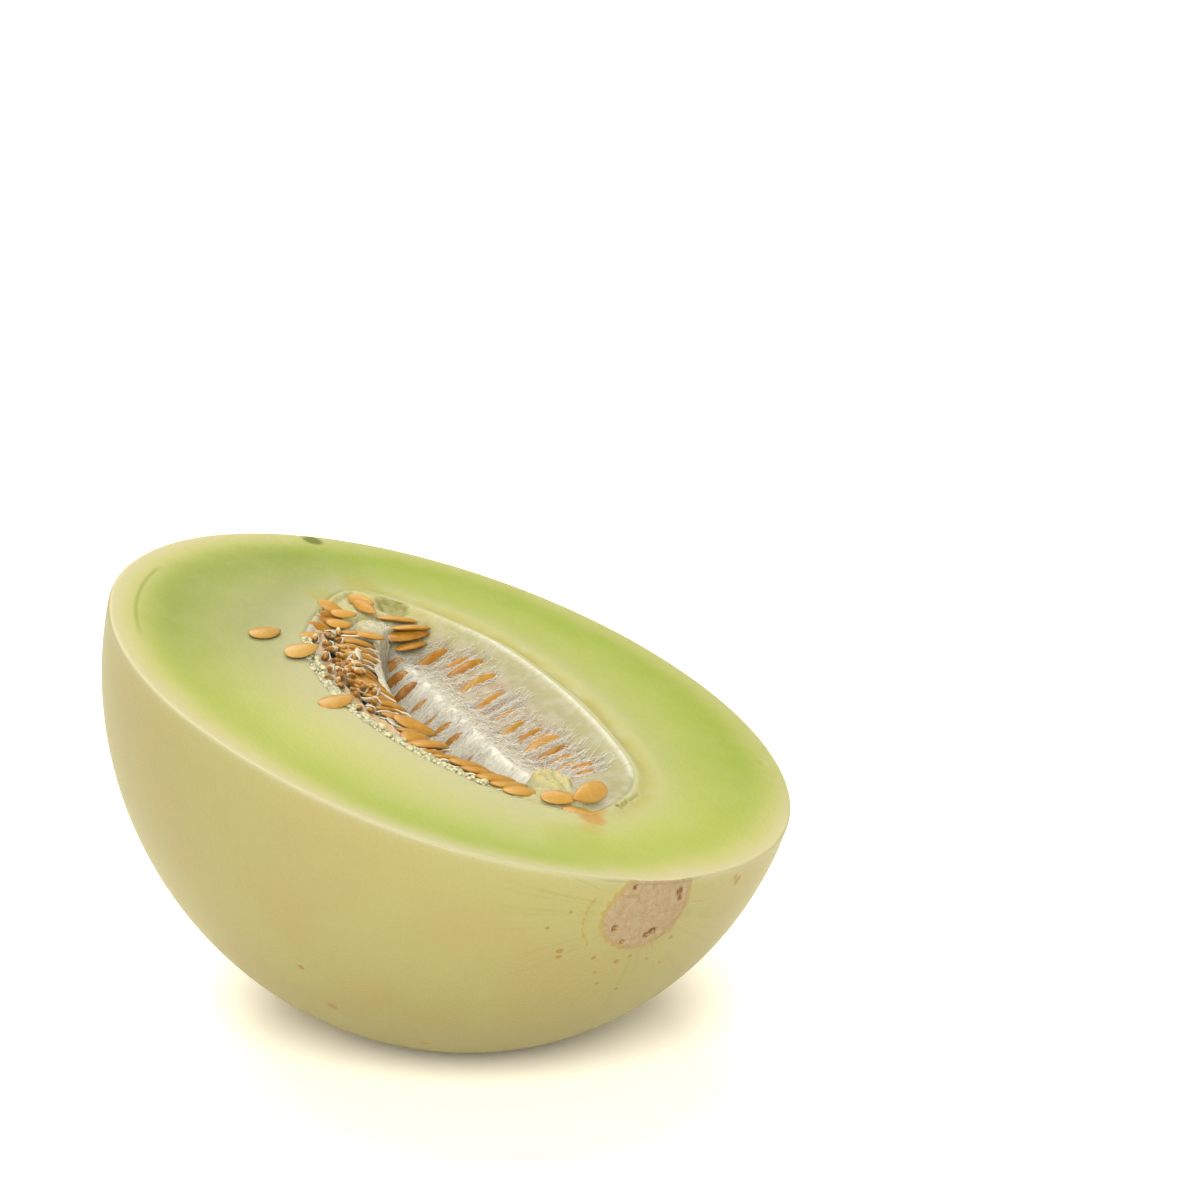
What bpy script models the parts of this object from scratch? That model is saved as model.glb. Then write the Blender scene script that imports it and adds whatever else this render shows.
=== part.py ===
"""Half a honeydew melon, cut lengthwise and lying on its round side, with its seeds.

Metres, +Z up. The origin is the middle of the small flat spot that the half rests on.
The pieces are modelled in the frame of the cut: its plane is z = 0, x runs along the
melon to the scar end and y across it, and the empty "cut_face" tilts them as they lie.
"""
import math
import random

import bmesh
import bpy
import numpy as np
from mathutils import Matrix, Vector

MM = 0.001
GAP = 0.3 * MM

# The whole melon: half its length, half its width, half its depth.
HALF_AXES = Vector((86.0, 76.0, 80.0)) * MM
AXIS_DIP = math.radians(5.7)      # the long axis dives under the cut toward the scar
CENTRE_ABOVE_CUT = 2.1 * MM
SEGMENTS = 56
RINGS = 40
SHARP_EDGE = math.radians(40)     # a corner that turns more than this isn't smoothed

# How the half lies: scar end low, far side low, on a flat ground spot.
PITCH = math.radians(14.1)
ROLL = math.radians(-10.4)
GROUND_FLAT_DEPTH = 2.2 * MM

# The corky scar at the end of the long axis.
SCAR_RADIUS = 9.5 * MM
SCAR_RISE = 0.5 * MM

# The mouth of the seed cavity in the cut, from the stem end round each side.
FAR_SIDE = [(-53, 3), (-47, 13), (-38, 21), (-26, 28), (-10, 31.3), (6, 31.6),
            (22, 30), (36, 26.5), (46, 20), (53, 11), (57, 2)]
NEAR_SIDE = [(56, -5), (50, -14.5), (38, -23), (24, -29.5), (8, -32.7), (-8, -31),
             (-22, -26.5), (-33, -19.5), (-43, -11), (-50, -4)]
MOUTH_CENTRE = Vector((2.0, 0.0)) * MM
MOUTH_SEGMENTS = 48
CAVITY_RINGS = 20
CAVITY_DEPTH = 30.0 * MM
CAVITY_TOP = 5.0 * MM             # the cavity's cutter reaches this far above the cut
LIP_DEPTH = 1.4 * MM              # a shallow furrow runs round the far side of the mouth
LIP_WIDTH = 4.5 * MM

# The hollow in the pulp: a slope with seed slots, a crest, and a trench before it.
HOLLOW_STARTS = (-48.0 * MM, -29.0 * MM)  # it deepens between these, from the stem end,
HOLLOW_ENDS = (18.0 * MM, 56.0 * MM)      # and grows shallow again between these
CREST_Y = 6.5 * MM
SLOT_TOP = (0.30, 4.4 * MM)       # share of the way from rim to crest, depth
SLOT_FOOT = (0.64, 9.0 * MM)
CREST_DEPTH = 9.3 * MM
TRENCH_WALL = (0.075, 13.5 * MM)  # share of the way from crest to near rim, depth
TRENCH_FOOT = (0.17, 17.0 * MM)
TRENCH_FLOOR = (0.42, 16.5 * MM)
PULP_CELL = 3.0 * MM
PULP_CELLS = (40, 24)

# The trough where the near row of seeds lies, and the curve that the row follows.
ROW_ROUTE = [(-39, -6), (-31, -13), (-22, -19), (-12, -23), (0, -25.2), (12, -25),
             (22, -22), (32, -18), (41, -13.5), (47.5, -8.5)]
TROUGH_DEPTH = 6.2 * MM
TROUGH_HALF_WIDTH = 9.2 * MM
TROUGH_RAMP = 2.2 * MM
SHELF_DEPTH = 1.6 * MM            # level of the pulp at the near rim
SHELF_SHARE = 0.38                # how far it reaches from there to the crest,
SHELF_DROP = 3.0 * MM             # and how much it falls on the way

# One seed.
SEED_LENGTH = 11.0 * MM
SEED_WIDTH = 4.8 * MM
SEED_THICKNESS = 1.9 * MM
SEED_TAPER = 0.24
SEED_STANDS_OUT = 1.3 * MM

SLOT_SEEDS = 16
SLOT_SEED_SPAN = (-39.0 * MM, 32.0 * MM)
BARE_SLOT_SEEDS = 3               # at the stem end they stand out further, half lying
BARE_SLOT_TURN = 0.4
BARE_SLOT_RISE = 1.4
TRENCH_SEED_SPAN = (-32.0 * MM, 16.0 * MM)
TRENCH_SEEDS = 8
BARE_TRENCH_SEEDS = 3
BARE_TRENCH_RISE = 1.5
ROW_PITCH = 2.75 * MM
ROW_LEAN = math.radians(32.0)
ROW_DEPTH = 1.7 * MM
ROW_STAGGER = (4.2 * MM, 2.4 * MM)  # how far some sit back, at the row's two ends
STRAND_RADIUS = 1.3 * MM          # a slim strand under the row holds it together
STRAND_DEPTH = 2.3 * MM
HEAP_SEEDS = 8                    # heaped on the row's stem end
HEAP_CENTRE = (-37.0 * MM, -8.5 * MM)
HEAP_REACH = (5.0 * MM, 5.0 * MM)
HEAP_HEIGHT = 1.3 * MM

# Loose seeds on the cut or the pulp: middle (x, y, z) in mm, then in degrees the way
# they point, how far the point dips, and how far the face is turned up on its side.
LOOSE_SEED_SCALE = 0.97
LOOSE_SEEDS = [(-24.4, -35.6, 1.35, 110, 0, 4), (-14.2, -31.6, 2.2, 106, -6, 12),
               (8.9, -36.0, 1.6, 102, -4, 8), (53.4, 3.4, 2.5, -64, 8, -34),
               (52.0, -6.4, 2.0, 73, 2, 10), (60.4, -0.9, 1.7, 66, 0, 8)]


def clear_scene():
    for obj in list(bpy.data.objects):
        bpy.data.objects.remove(obj, do_unlink=True)


def material(name, color, roughness):
    mat = bpy.data.materials.new(name)
    mat.use_nodes = True
    shader = mat.node_tree.nodes["Principled BSDF"]
    shader.inputs["Base Color"].default_value = (*color, 1.0)
    shader.inputs["Roughness"].default_value = roughness
    shader.inputs["Metallic"].default_value = 0.0
    return mat


def lying_half():
    """Matrix of the cut's frame: tilted as the half lies, the ground flat at the origin."""
    tilt = Matrix.Rotation(PITCH, 3, "Y") @ Matrix.Rotation(ROLL, 3, "X")
    down_axes = (tilt @ Matrix.Rotation(AXIS_DIP, 3, "Y")).transposed() @ Vector((0, 0, 1))
    stretched = Vector([HALF_AXES[i] * down_axes[i] for i in range(3)])
    height = stretched.length
    lowest = tilt @ Matrix.Rotation(AXIS_DIP, 3, "Y") @ Vector(
        [-HALF_AXES[i] * stretched[i] / height for i in range(3)])
    flat = lowest * ((height - GROUND_FLAT_DEPTH) / height)
    cut_point = tilt @ Vector((0, 0, -CENTRE_ABOVE_CUT)) - flat
    return Matrix.Translation(cut_point) @ tilt.to_4x4()


def add_object(name, bm, mats, parent):
    """Make an object of a mesh; its faces take the last of its materials."""
    bmesh.ops.recalc_face_normals(bm, faces=bm.faces)
    for face in bm.faces:
        face.material_index = len(mats) - 1
    mesh = bpy.data.meshes.new(name)
    bm.to_mesh(mesh)
    bm.free()
    for mat in mats:
        mesh.materials.append(mat)
    mesh.shade_smooth()
    mesh.set_sharp_from_angle(angle=SHARP_EDGE)
    obj = bpy.data.objects.new(name, mesh)
    bpy.context.scene.collection.objects.link(obj)
    obj.parent = parent
    return obj


def boolean(obj, operation, operand, solver="EXACT"):
    """Add a Boolean with one object, or with a collection of them, and apply it."""
    mod = obj.modifiers.new(operation.lower(), "BOOLEAN")
    mod.operation = operation
    mod.solver = solver
    if isinstance(operand, bpy.types.Collection):
        mod.operand_type = "COLLECTION"
        mod.collection = operand
        tools = list(operand.objects)
    else:
        mod.object = operand
        tools = [operand]
    bpy.context.view_layer.update()
    graph = bpy.context.evaluated_depsgraph_get()
    result = bpy.data.meshes.new_from_object(obj.evaluated_get(graph))
    obj.modifiers.clear()
    obj.data = result
    result.shade_smooth()
    result.set_sharp_from_angle(angle=SHARP_EDGE)
    for tool in tools:
        bpy.data.objects.remove(tool, do_unlink=True)


def keep_outer_skin(obj):
    """Keep a fused body's largest skin: sealed hollows are filled, loose scraps dropped."""
    bm = bmesh.new()
    bm.from_mesh(obj.data)
    waiting = set(bm.faces)
    skins = []
    while waiting:
        skin = []
        front = [waiting.pop()]
        while front:
            face = front.pop()
            skin.append(face)
            beside = {f for e in face.edges for f in e.link_faces} & waiting
            waiting -= beside
            front.extend(beside)
        skins.append(skin)
    skins.sort(key=lambda skin: sum(f.calc_area() for f in skin))
    extra = [f for skin in skins[:-1] for f in skin]
    bmesh.ops.delete(bm, geom=extra, context="FACES")
    bm.to_mesh(obj.data)
    bm.free()


def smooth_run(points, steps, closed):
    """Points along a Catmull-Rom curve through the given ones, in metres."""
    pts = [Vector(p) * MM for p in points]
    count = len(pts)
    run = []
    for i in range(count if closed else count - 1):
        if closed:
            a, b, c, d = (pts[(i + k) % count] for k in (-1, 0, 1, 2))
        else:
            b, c = pts[i], pts[i + 1]
            a = pts[i - 1] if i else b * 2 - c
            d = pts[i + 2] if i + 2 < count else c * 2 - b
        for step in range(steps):
            t = step / steps
            run.append((b * 2 + (c - a) * t + (a * 2 - b * 5 + c * 4 - d) * t ** 2
                        + (b * 3 - a - c * 3 + d) * t ** 3) * 0.5)
    if not closed:
        run.append(pts[-1])
    return run


MOUTH = smooth_run(FAR_SIDE + NEAR_SIDE, 6, True)
ROW = smooth_run(ROW_ROUTE, 12, False)


def mouth_radius(angle):
    """Distance from the mouth's centre to its edge in one direction."""
    polar = sorted((math.atan2(*(p - MOUTH_CENTRE).yx), (p - MOUTH_CENTRE).length)
                   for p in MOUTH)
    angles, radii = zip(*polar)
    return float(np.interp(angle, angles, radii, period=2 * math.pi))


def mouth_edge(x, far):
    """The mouth's y at one x, on its far or its near side."""
    left = min(range(len(MOUTH)), key=lambda i: MOUTH[i].x)
    right = max(range(len(MOUTH)), key=lambda i: MOUTH[i].x)
    loop = MOUTH[left:] + MOUTH[:left]
    turn = (right - left) % len(MOUTH)
    side = loop[:turn + 1] if far else loop[turn:]
    xs, ys = zip(*sorted((p.x, p.y) for p in side))
    return float(np.interp(x, xs, ys))


def smoothstep(low, high, value):
    t = min(max((value - low) / (high - low), 0.0), 1.0)
    return t * t * (3 - 2 * t)


def hollow_share(x):
    """How deep the hollow is at one x, as a share of its full depth."""
    return smoothstep(*HOLLOW_STARTS, x) * (1 - smoothstep(*HOLLOW_ENDS, x))


def pulp_profile(x):
    """Points (y, z) across the pulp's top at one x, from near rim to far rim."""
    far = mouth_edge(x, True)
    near = mouth_edge(x, False)
    up = far - CREST_Y
    down = CREST_Y - near
    share = hollow_share(x)
    return [(near, -SHELF_DEPTH),
            (near + SHELF_SHARE * down, -SHELF_DEPTH - SHELF_DROP * share),
            (CREST_Y - TRENCH_FLOOR[0] * down, -TRENCH_FLOOR[1] * share),
            (CREST_Y - TRENCH_FOOT[0] * down, -TRENCH_FOOT[1] * share),
            (CREST_Y - TRENCH_WALL[0] * down, -TRENCH_WALL[1] * share),
            (CREST_Y, -CREST_DEPTH * share),
            (far - SLOT_FOOT[0] * up, -SLOT_FOOT[1] * share),
            (far - SLOT_TOP[0] * up, -SLOT_TOP[1] * share),
            (far, 0.0)]


def pulp_height(x, y):
    ys, zs = zip(*sorted(pulp_profile(x)))
    z = float(np.interp(y, ys, zs))
    off_row = min((p - Vector((x, y))).length for p in ROW)
    ramp = smoothstep(TROUGH_HALF_WIDTH, TROUGH_HALF_WIDTH + TROUGH_RAMP, off_row)
    return min(z, -TROUGH_DEPTH * (1 - ramp) + z * ramp)


def bowl(inset, lip):
    """Closed solid of the cavity: a half ball drawn out to the mouth's outline."""
    bm = bmesh.new()
    bmesh.ops.create_uvsphere(bm, u_segments=MOUTH_SEGMENTS, v_segments=CAVITY_RINGS,
                              radius=1.0)
    geom = bm.verts[:] + bm.edges[:] + bm.faces[:]
    bmesh.ops.bisect_plane(bm, geom=geom, plane_co=(0, 0, 0), plane_no=(0, 0, 1),
                           clear_outer=True)
    rim = [e for e in bm.edges if e.is_boundary]
    upper = bmesh.ops.extrude_edge_only(bm, edges=rim)["geom"]
    for v in (g for g in upper if isinstance(g, bmesh.types.BMVert)):
        v.co.z = 1.0
    bmesh.ops.edgeloop_fill(bm, edges=[e for e in bm.edges if e.is_boundary])
    for v in bm.verts:
        angle = math.atan2(v.co.y, v.co.x)
        reach = (mouth_radius(angle) - inset) * math.hypot(v.co.x, v.co.y)
        if v.co.z > 0.5:
            rise = CAVITY_TOP + LIP_DEPTH
            reach += lip * smoothstep(-0.1, 0.5, math.sin(angle)) * rise / LIP_DEPTH
            z = CAVITY_TOP
        else:
            z = v.co.z * (CAVITY_DEPTH - inset) - LIP_DEPTH
        v.co = (MOUTH_CENTRE.x + reach * math.cos(angle),
                MOUTH_CENTRE.y + reach * math.sin(angle), z)
    bmesh.ops.recalc_face_normals(bm, faces=bm.faces)
    return bm


def rind_and_flesh(parent, cut_matrix):
    """The grown body of the half: an ovoid cut flat, hollowed, with a scar at one end."""
    bm = bmesh.new()
    bmesh.ops.create_uvsphere(bm, u_segments=SEGMENTS, v_segments=RINGS, radius=1.0)
    bmesh.ops.rotate(bm, verts=bm.verts, matrix=Matrix.Rotation(math.pi / 2, 3, "Y"))
    bmesh.ops.scale(bm, verts=bm.verts, vec=HALF_AXES)
    near_scar = [e for e in bm.edges
                 if all(v.co.x > 0 and v.co.yz.length < 2 * SCAR_RADIUS for v in e.verts)]
    bmesh.ops.subdivide_edges(bm, edges=near_scar, cuts=1, use_grid_fill=True)
    for v in bm.verts:
        if v.co.x > 0:
            off = v.co.yz.length
            v.co.x += SCAR_RISE * (1 - smoothstep(0.85 * SCAR_RADIUS, SCAR_RADIUS, off))
    place = Matrix.Translation((0, 0, CENTRE_ABOVE_CUT)) @ Matrix.Rotation(AXIS_DIP, 4, "Y")
    bmesh.ops.transform(bm, matrix=place, verts=bm.verts)
    to_cut = cut_matrix.inverted()
    planes = [(Vector((0, 0, 0)), Vector((0, 0, 1))),
              (to_cut @ Vector((0, 0, 0)), to_cut.to_3x3() @ Vector((0, 0, -1)))]
    for point, normal in planes:
        geom = bm.verts[:] + bm.edges[:] + bm.faces[:]
        bmesh.ops.bisect_plane(bm, geom=geom, plane_co=point, plane_no=normal,
                               clear_outer=True)
        bmesh.ops.edgeloop_fill(bm, edges=[e for e in bm.edges if e.is_boundary])
    skin = material("rind_and_flesh", (0.66, 0.71, 0.33), 0.45)
    body = add_object("rind_and_flesh", bm, [skin], parent)
    cutter = add_object("cavity_cutter", bowl(0.0, LIP_WIDTH), [skin], parent)
    boolean(body, "DIFFERENCE", cutter)
    return body


def seed_mesh(u_segments=8, v_segments=5):
    """One seed, its point toward +X, lying flat."""
    bm = bmesh.new()
    bmesh.ops.create_uvsphere(bm, u_segments=u_segments, v_segments=v_segments, radius=1.0)
    bmesh.ops.rotate(bm, verts=bm.verts, matrix=Matrix.Rotation(math.pi / 2, 3, "Y"))
    for v in bm.verts:
        v.co.y *= 1 - SEED_TAPER * v.co.x
    bmesh.ops.scale(bm, verts=bm.verts,
                    vec=(SEED_LENGTH / 2, SEED_WIDTH / 2, SEED_THICKNESS / 2))
    return bm


def axes_matrix(place, along, face):
    """Matrix that lays a seed's length along one direction, its flat side facing another."""
    along = along.normalized()
    face = (face - along * face.dot(along)).normalized()
    side = face.cross(along)
    turn = Matrix((along, side, face)).transposed()
    return Matrix.Translation(place) @ turn.to_4x4()


def add_seed(name, matrix, scale, mats, parent):
    bm = seed_mesh()
    bmesh.ops.transform(bm, matrix=matrix @ Matrix.Scale(scale, 4), verts=bm.verts)
    return add_object(name, bm, mats, parent)


def fuse(body, pieces):
    """Join pieces that root in a body with it, in one union."""
    group = bpy.data.collections.new("pieces")
    bpy.context.scene.collection.children.link(group)
    for piece in pieces:
        bpy.context.scene.collection.objects.unlink(piece)
        group.objects.link(piece)
    boolean(body, "UNION", group, "MANIFOLD")
    keep_outer_skin(body)
    bpy.data.collections.remove(group)


def wall_seed(place, down, face_turn, stands_out):
    """Matrix of a seed standing on edge in the pulp, partly sunk in it."""
    down = down.normalized()
    outward = Vector((0, -down.z, down.y))
    if outward.z < 0:
        outward = -outward
    face = Matrix.Rotation(face_turn, 3, down) @ Vector((1, 0, 0))
    half = abs(math.cos(face_turn)) * SEED_WIDTH / 2
    return axes_matrix(place - outward * (half - stands_out), down, face)


def seed_pulp(parent, seed_mat):
    """The pale pulp that fills the cavity's floor, with the seeds in its slots."""
    bm = bmesh.new()
    x_cells, y_cells = PULP_CELLS
    bmesh.ops.create_grid(bm, x_segments=x_cells, y_segments=y_cells, size=0.5)
    bmesh.ops.scale(bm, verts=bm.verts, vec=(x_cells * PULP_CELL, y_cells * PULP_CELL, 1))
    bmesh.ops.translate(bm, verts=bm.verts, vec=(MOUTH_CENTRE.x, 0, 0))
    floor = bmesh.ops.extrude_face_region(bm, geom=bm.faces[:])["geom"]
    low = [g for g in floor if isinstance(g, bmesh.types.BMVert)]
    top = [v for v in bm.verts if v not in set(low)]
    bmesh.ops.translate(bm, verts=low, vec=(0, 0, -1.5 * CAVITY_DEPTH))
    for v in top:
        v.co.z = pulp_height(v.co.x, v.co.y)
    pale = material("seed_pulp", (0.83, 0.80, 0.64), 0.6)
    pulp = add_object("seed_pulp", bm, [pale], parent)
    form = add_object("pulp_form", bowl(GAP, 0.0), [pale], parent)
    boolean(pulp, "INTERSECT", form)

    draw = random.Random(11)
    pulp.data.materials.append(seed_mat)
    mats = [pale, seed_mat]
    seeds = []
    start, end = SLOT_SEED_SPAN
    for i in range(SLOT_SEEDS):
        x = start + (end - start) * (i + draw.uniform(-0.25, 0.25)) / (SLOT_SEEDS - 1)
        profile = pulp_profile(x)
        foot = Vector((x, *profile[6]))
        head = Vector((x, *profile[7]))
        middle = foot.lerp(head, draw.uniform(0.4, 0.6))
        bare = i < BARE_SLOT_SEEDS
        turn = BARE_SLOT_TURN if bare else draw.uniform(-0.25, 0.25)
        stands_out = SEED_STANDS_OUT * (BARE_SLOT_RISE if bare else 1)
        matrix = wall_seed(middle, foot - head, turn, stands_out)
        seeds.append(add_seed("slot_seed", matrix, draw.uniform(0.85, 1.05), mats, parent))
    start, end = TRENCH_SEED_SPAN
    for i in range(TRENCH_SEEDS):
        x = start + (end - start) * (i + draw.uniform(-0.2, 0.2)) / (TRENCH_SEEDS - 1)
        profile = pulp_profile(x)
        foot = Vector((x, *profile[3]))
        head = Vector((x, *profile[5]))
        middle = foot.lerp(head, draw.uniform(0.45, 0.6))
        stands_out = SEED_STANDS_OUT * (BARE_TRENCH_RISE if i < BARE_TRENCH_SEEDS else 1)
        matrix = wall_seed(middle, foot - head, draw.uniform(-0.2, 0.2), stands_out)
        seeds.append(add_seed("trench_seed", matrix, draw.uniform(0.85, 1.0), mats, parent))
    fuse(pulp, seeds)
    return pulp


def near_seed_row(parent, seed_mat):
    """The packed row of seeds along the near rim, leaning on each other like books."""
    curve = bpy.data.curves.new("strand", "CURVE")
    curve.dimensions = "3D"
    spline = curve.splines.new("POLY")
    route = smooth_run(ROW_ROUTE, 3, False)
    spline.points.add(len(route) - 1)
    for point, place in zip(spline.points, route):
        point.co = (place.x, place.y, -STRAND_DEPTH, 1.0)
    curve.bevel_depth = STRAND_RADIUS
    curve.bevel_resolution = 1
    curve.use_fill_caps = True
    guide = bpy.data.objects.new("strand", curve)
    bpy.context.scene.collection.objects.link(guide)
    bpy.context.view_layer.update()
    graph = bpy.context.evaluated_depsgraph_get()
    strand = bpy.data.meshes.new_from_object(guide.evaluated_get(graph))
    bpy.data.objects.remove(guide, do_unlink=True)
    bm = bmesh.new()
    bm.from_mesh(strand)
    bmesh.ops.remove_doubles(bm, verts=bm.verts, dist=0.01 * MM)
    row = add_object("near_seed_row", bm, [seed_mat], parent)

    draw = random.Random(6)
    seeds = []
    walked = 0.0
    next_seed = 0.0
    for before, after in zip(ROW, ROW[1:]):
        step = (after - before).length
        while walked + step >= next_seed:
            place = before.lerp(after, (next_seed - walked) / step)
            along_row = smoothstep(-25 * MM, 5 * MM, place.x)
            stagger = ROW_STAGGER[0] + (ROW_STAGGER[1] - ROW_STAGGER[0]) * along_row
            back = draw.uniform(0.0, stagger)
            depth = ROW_DEPTH + draw.uniform(-0.5, 0.4) * MM
            across = Vector((draw.uniform(-0.05, 0.35), -1, draw.uniform(-0.2, 0.0)))
            lean = ROW_LEAN + draw.uniform(-0.2, 0.2)
            face = Vector((math.cos(lean), 0, math.sin(lean)))
            matrix = axes_matrix(Vector((place.x, place.y + back, -depth)), across, face)
            size = draw.uniform(0.9, 1.04)
            seeds.append(add_seed("row_seed", matrix, size, [seed_mat], parent))
            next_seed += ROW_PITCH * draw.uniform(0.85, 1.15)
        walked += step
    for i in range(HEAP_SEEDS):
        turn = 2 * math.pi * i / HEAP_SEEDS
        reach = draw.uniform(0.4, 1.0)
        place = Vector((HEAP_CENTRE[0] + HEAP_REACH[0] * reach * math.cos(turn),
                        HEAP_CENTRE[1] + HEAP_REACH[1] * reach * math.sin(turn),
                        HEAP_HEIGHT + draw.uniform(-0.7, 0.7) * MM))
        along = Vector((draw.uniform(0.0, 0.7), -1, draw.uniform(-0.15, 0.15)))
        face = Vector((draw.uniform(0.2, 0.9), draw.uniform(-0.3, 0.3), 1))
        matrix = axes_matrix(place, along, face)
        seeds.append(add_seed("heap_seed", matrix, 1.0, [seed_mat], parent))
    fuse(row, seeds)
    return row


def loose_seeds(parent):
    """Seeds that fell out of the cavity and lie on the cut or on the pulp."""
    mat = material("loose_seed", (0.80, 0.52, 0.20), 0.4)
    for number, (x, y, z, heading, dip, tip) in enumerate(LOOSE_SEEDS, 1):
        turn = Matrix.Rotation(math.radians(heading), 3, "Z")
        along = turn @ Matrix.Rotation(math.radians(dip), 3, "Y") @ Vector((1, 0, 0))
        face = Matrix.Rotation(math.radians(tip), 3, along) @ Vector((0, 0, 1))
        matrix = axes_matrix(Vector((x, y, z)) * MM, along, face)
        add_seed("loose_seed_%d" % number, matrix, LOOSE_SEED_SCALE, [mat], parent)


def main():
    clear_scene()
    cut_matrix = lying_half()
    cut_face = bpy.data.objects.new("cut_face", None)
    bpy.context.scene.collection.objects.link(cut_face)
    cut_face.matrix_world = cut_matrix
    seed_mat = material("seeds", (0.62, 0.33, 0.09), 0.4)
    rind_and_flesh(cut_face, cut_matrix)
    seed_pulp(cut_face, seed_mat)
    near_seed_row(cut_face, seed_mat)
    loose_seeds(cut_face)


main()
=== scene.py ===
# %% [markdown]
# # Half a honeydew melon
# A ripe honeydew is cut lengthwise. Its half lies tilted on its round side, with the cut
# face up. This lesson builds it piece by piece: rind and flesh, the seed pulp in the
# cavity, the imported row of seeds, their membranes, and the seeds that fell out.
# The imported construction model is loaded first. It sets the place and size of everything.

# %% Load the frame
import math
import random

import bmesh
import bpy
import numpy as np
from mathutils import Matrix, Vector, noise
from mathutils.bvhtree import BVHTree


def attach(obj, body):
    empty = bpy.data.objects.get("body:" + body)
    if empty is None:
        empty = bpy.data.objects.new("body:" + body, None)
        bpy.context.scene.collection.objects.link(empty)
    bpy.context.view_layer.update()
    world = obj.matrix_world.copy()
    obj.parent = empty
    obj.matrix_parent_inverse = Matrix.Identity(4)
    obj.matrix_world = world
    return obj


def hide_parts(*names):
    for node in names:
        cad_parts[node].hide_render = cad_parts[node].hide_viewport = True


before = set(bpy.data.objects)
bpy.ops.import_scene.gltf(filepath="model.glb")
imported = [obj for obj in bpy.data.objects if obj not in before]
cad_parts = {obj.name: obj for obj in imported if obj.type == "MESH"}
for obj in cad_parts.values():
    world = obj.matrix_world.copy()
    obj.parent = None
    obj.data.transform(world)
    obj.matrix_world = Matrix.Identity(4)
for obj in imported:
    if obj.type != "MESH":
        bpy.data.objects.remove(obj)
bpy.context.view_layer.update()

print("nodes to dress:", sorted(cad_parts))

# %% [markdown]
# ## The frame of the cut
# All sizes below are in millimetres in the frame of the cut: its plane is z = 0, x runs
# along the melon to the end with the scar, and y across it. One matrix tilts this frame
# as the half lies and brings it to metres. It comes from the melon's axes and its tilt.

# %% The melon's measures
MM = 0.001
HALF_AXES = Vector((86.0, 76.0, 80.0))
AXIS_DIP = math.radians(5.7)
CENTRE_ABOVE_CUT = 2.1
PITCH = math.radians(14.1)
ROLL = math.radians(-10.4)
GROUND_FLAT_DEPTH = 2.2

TILT = Matrix.Rotation(PITCH, 3, "Y") @ Matrix.Rotation(ROLL, 3, "X")
AXES_TURN = TILT @ Matrix.Rotation(AXIS_DIP, 3, "Y")


def lying_half():
    """Matrix from the cut's frame in millimetres to the lying half in metres."""
    down_axes = AXES_TURN.transposed() @ Vector((0, 0, 1))
    stretched = Vector([HALF_AXES[i] * down_axes[i] for i in range(3)])
    height = stretched.length
    lowest = AXES_TURN @ Vector([-HALF_AXES[i] * stretched[i] / height for i in range(3)])
    flat = lowest * ((height - GROUND_FLAT_DEPTH) / height)
    cut_point = TILT @ Vector((0, 0, -CENTRE_ABOVE_CUT)) - flat
    return Matrix.Translation(cut_point * MM) @ TILT.to_4x4() @ Matrix.Scale(MM, 4)


CUT = lying_half()
CENTRE = CUT @ Vector((0, 0, CENTRE_ABOVE_CUT))
print("centre of the whole melon, in metres:", [round(c, 4) for c in CENTRE])

# %% [markdown]
# ## Camera and studio
# The camera looks a little down on the scar end, with a long lens, so the far end of the
# half shrinks only slightly. The floor and the world are plain and pale. A large soft
# light from above the stem end gives the flesh its gentle falloff.

# %% Camera, floor and light
CAMERA_FROM_CENTRE = Vector((0.5117, -0.2840, 0.1532))
CAMERA_TURN = (math.radians(77.0), 0.0, math.radians(57.77))
CAMERA_LENS = 81.0
FLOOR_SIDE = 160.0

scene = bpy.context.scene
camera = bpy.data.objects.new("camera", bpy.data.cameras.new("camera"))
camera.data.lens = CAMERA_LENS
camera.data.sensor_width = 36.0
camera.data.clip_start = 0.01
camera.location = CENTRE + CAMERA_FROM_CENTRE
camera.rotation_euler = CAMERA_TURN
scene.collection.objects.link(camera)
scene.camera = camera
scene.view_settings.view_transform = "Standard"

bm = bmesh.new()
bmesh.ops.create_grid(bm, x_segments=1, y_segments=1, size=FLOOR_SIDE / 2)
floor_mesh = bpy.data.meshes.new("floor")
bm.to_mesh(floor_mesh)
bm.free()
floor_mat = bpy.data.materials.new("pale_floor")
floor_mat.use_nodes = True
floor_shader = floor_mat.node_tree.nodes["Principled BSDF"]
floor_shader.inputs["Base Color"].default_value = (0.95, 0.91, 0.80, 1.0)
floor_shader.inputs["Roughness"].default_value = 0.8
floor_mesh.materials.append(floor_mat)
floor = bpy.data.objects.new("floor", floor_mesh)
scene.collection.objects.link(floor)

world = bpy.data.worlds.new("studio")
world.use_nodes = True
world.node_tree.nodes["Background"].inputs["Color"].default_value = (1.0, 0.88, 0.6, 1.0)
world.node_tree.nodes["Background"].inputs["Strength"].default_value = 0.45
scene.world = world


def soft_light(name, from_side, height, strength, spread, tint):
    """A distant soft light that comes from a side of the compass and a height, in degrees."""
    lamp = bpy.data.lights.new(name, "SUN")
    lamp.energy = strength
    lamp.angle = math.radians(spread)
    lamp.color = tint
    obj = bpy.data.objects.new(name, lamp)
    toward = Matrix.Rotation(math.radians(from_side), 3, "Z") @ Vector((1, 0, 0))
    toward = toward * math.cos(math.radians(height)) + Vector((0, 0, 1)) * math.sin(
        math.radians(height))
    obj.rotation_euler = toward.to_track_quat("Z", "Y").to_euler()
    scene.collection.objects.link(obj)


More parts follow.
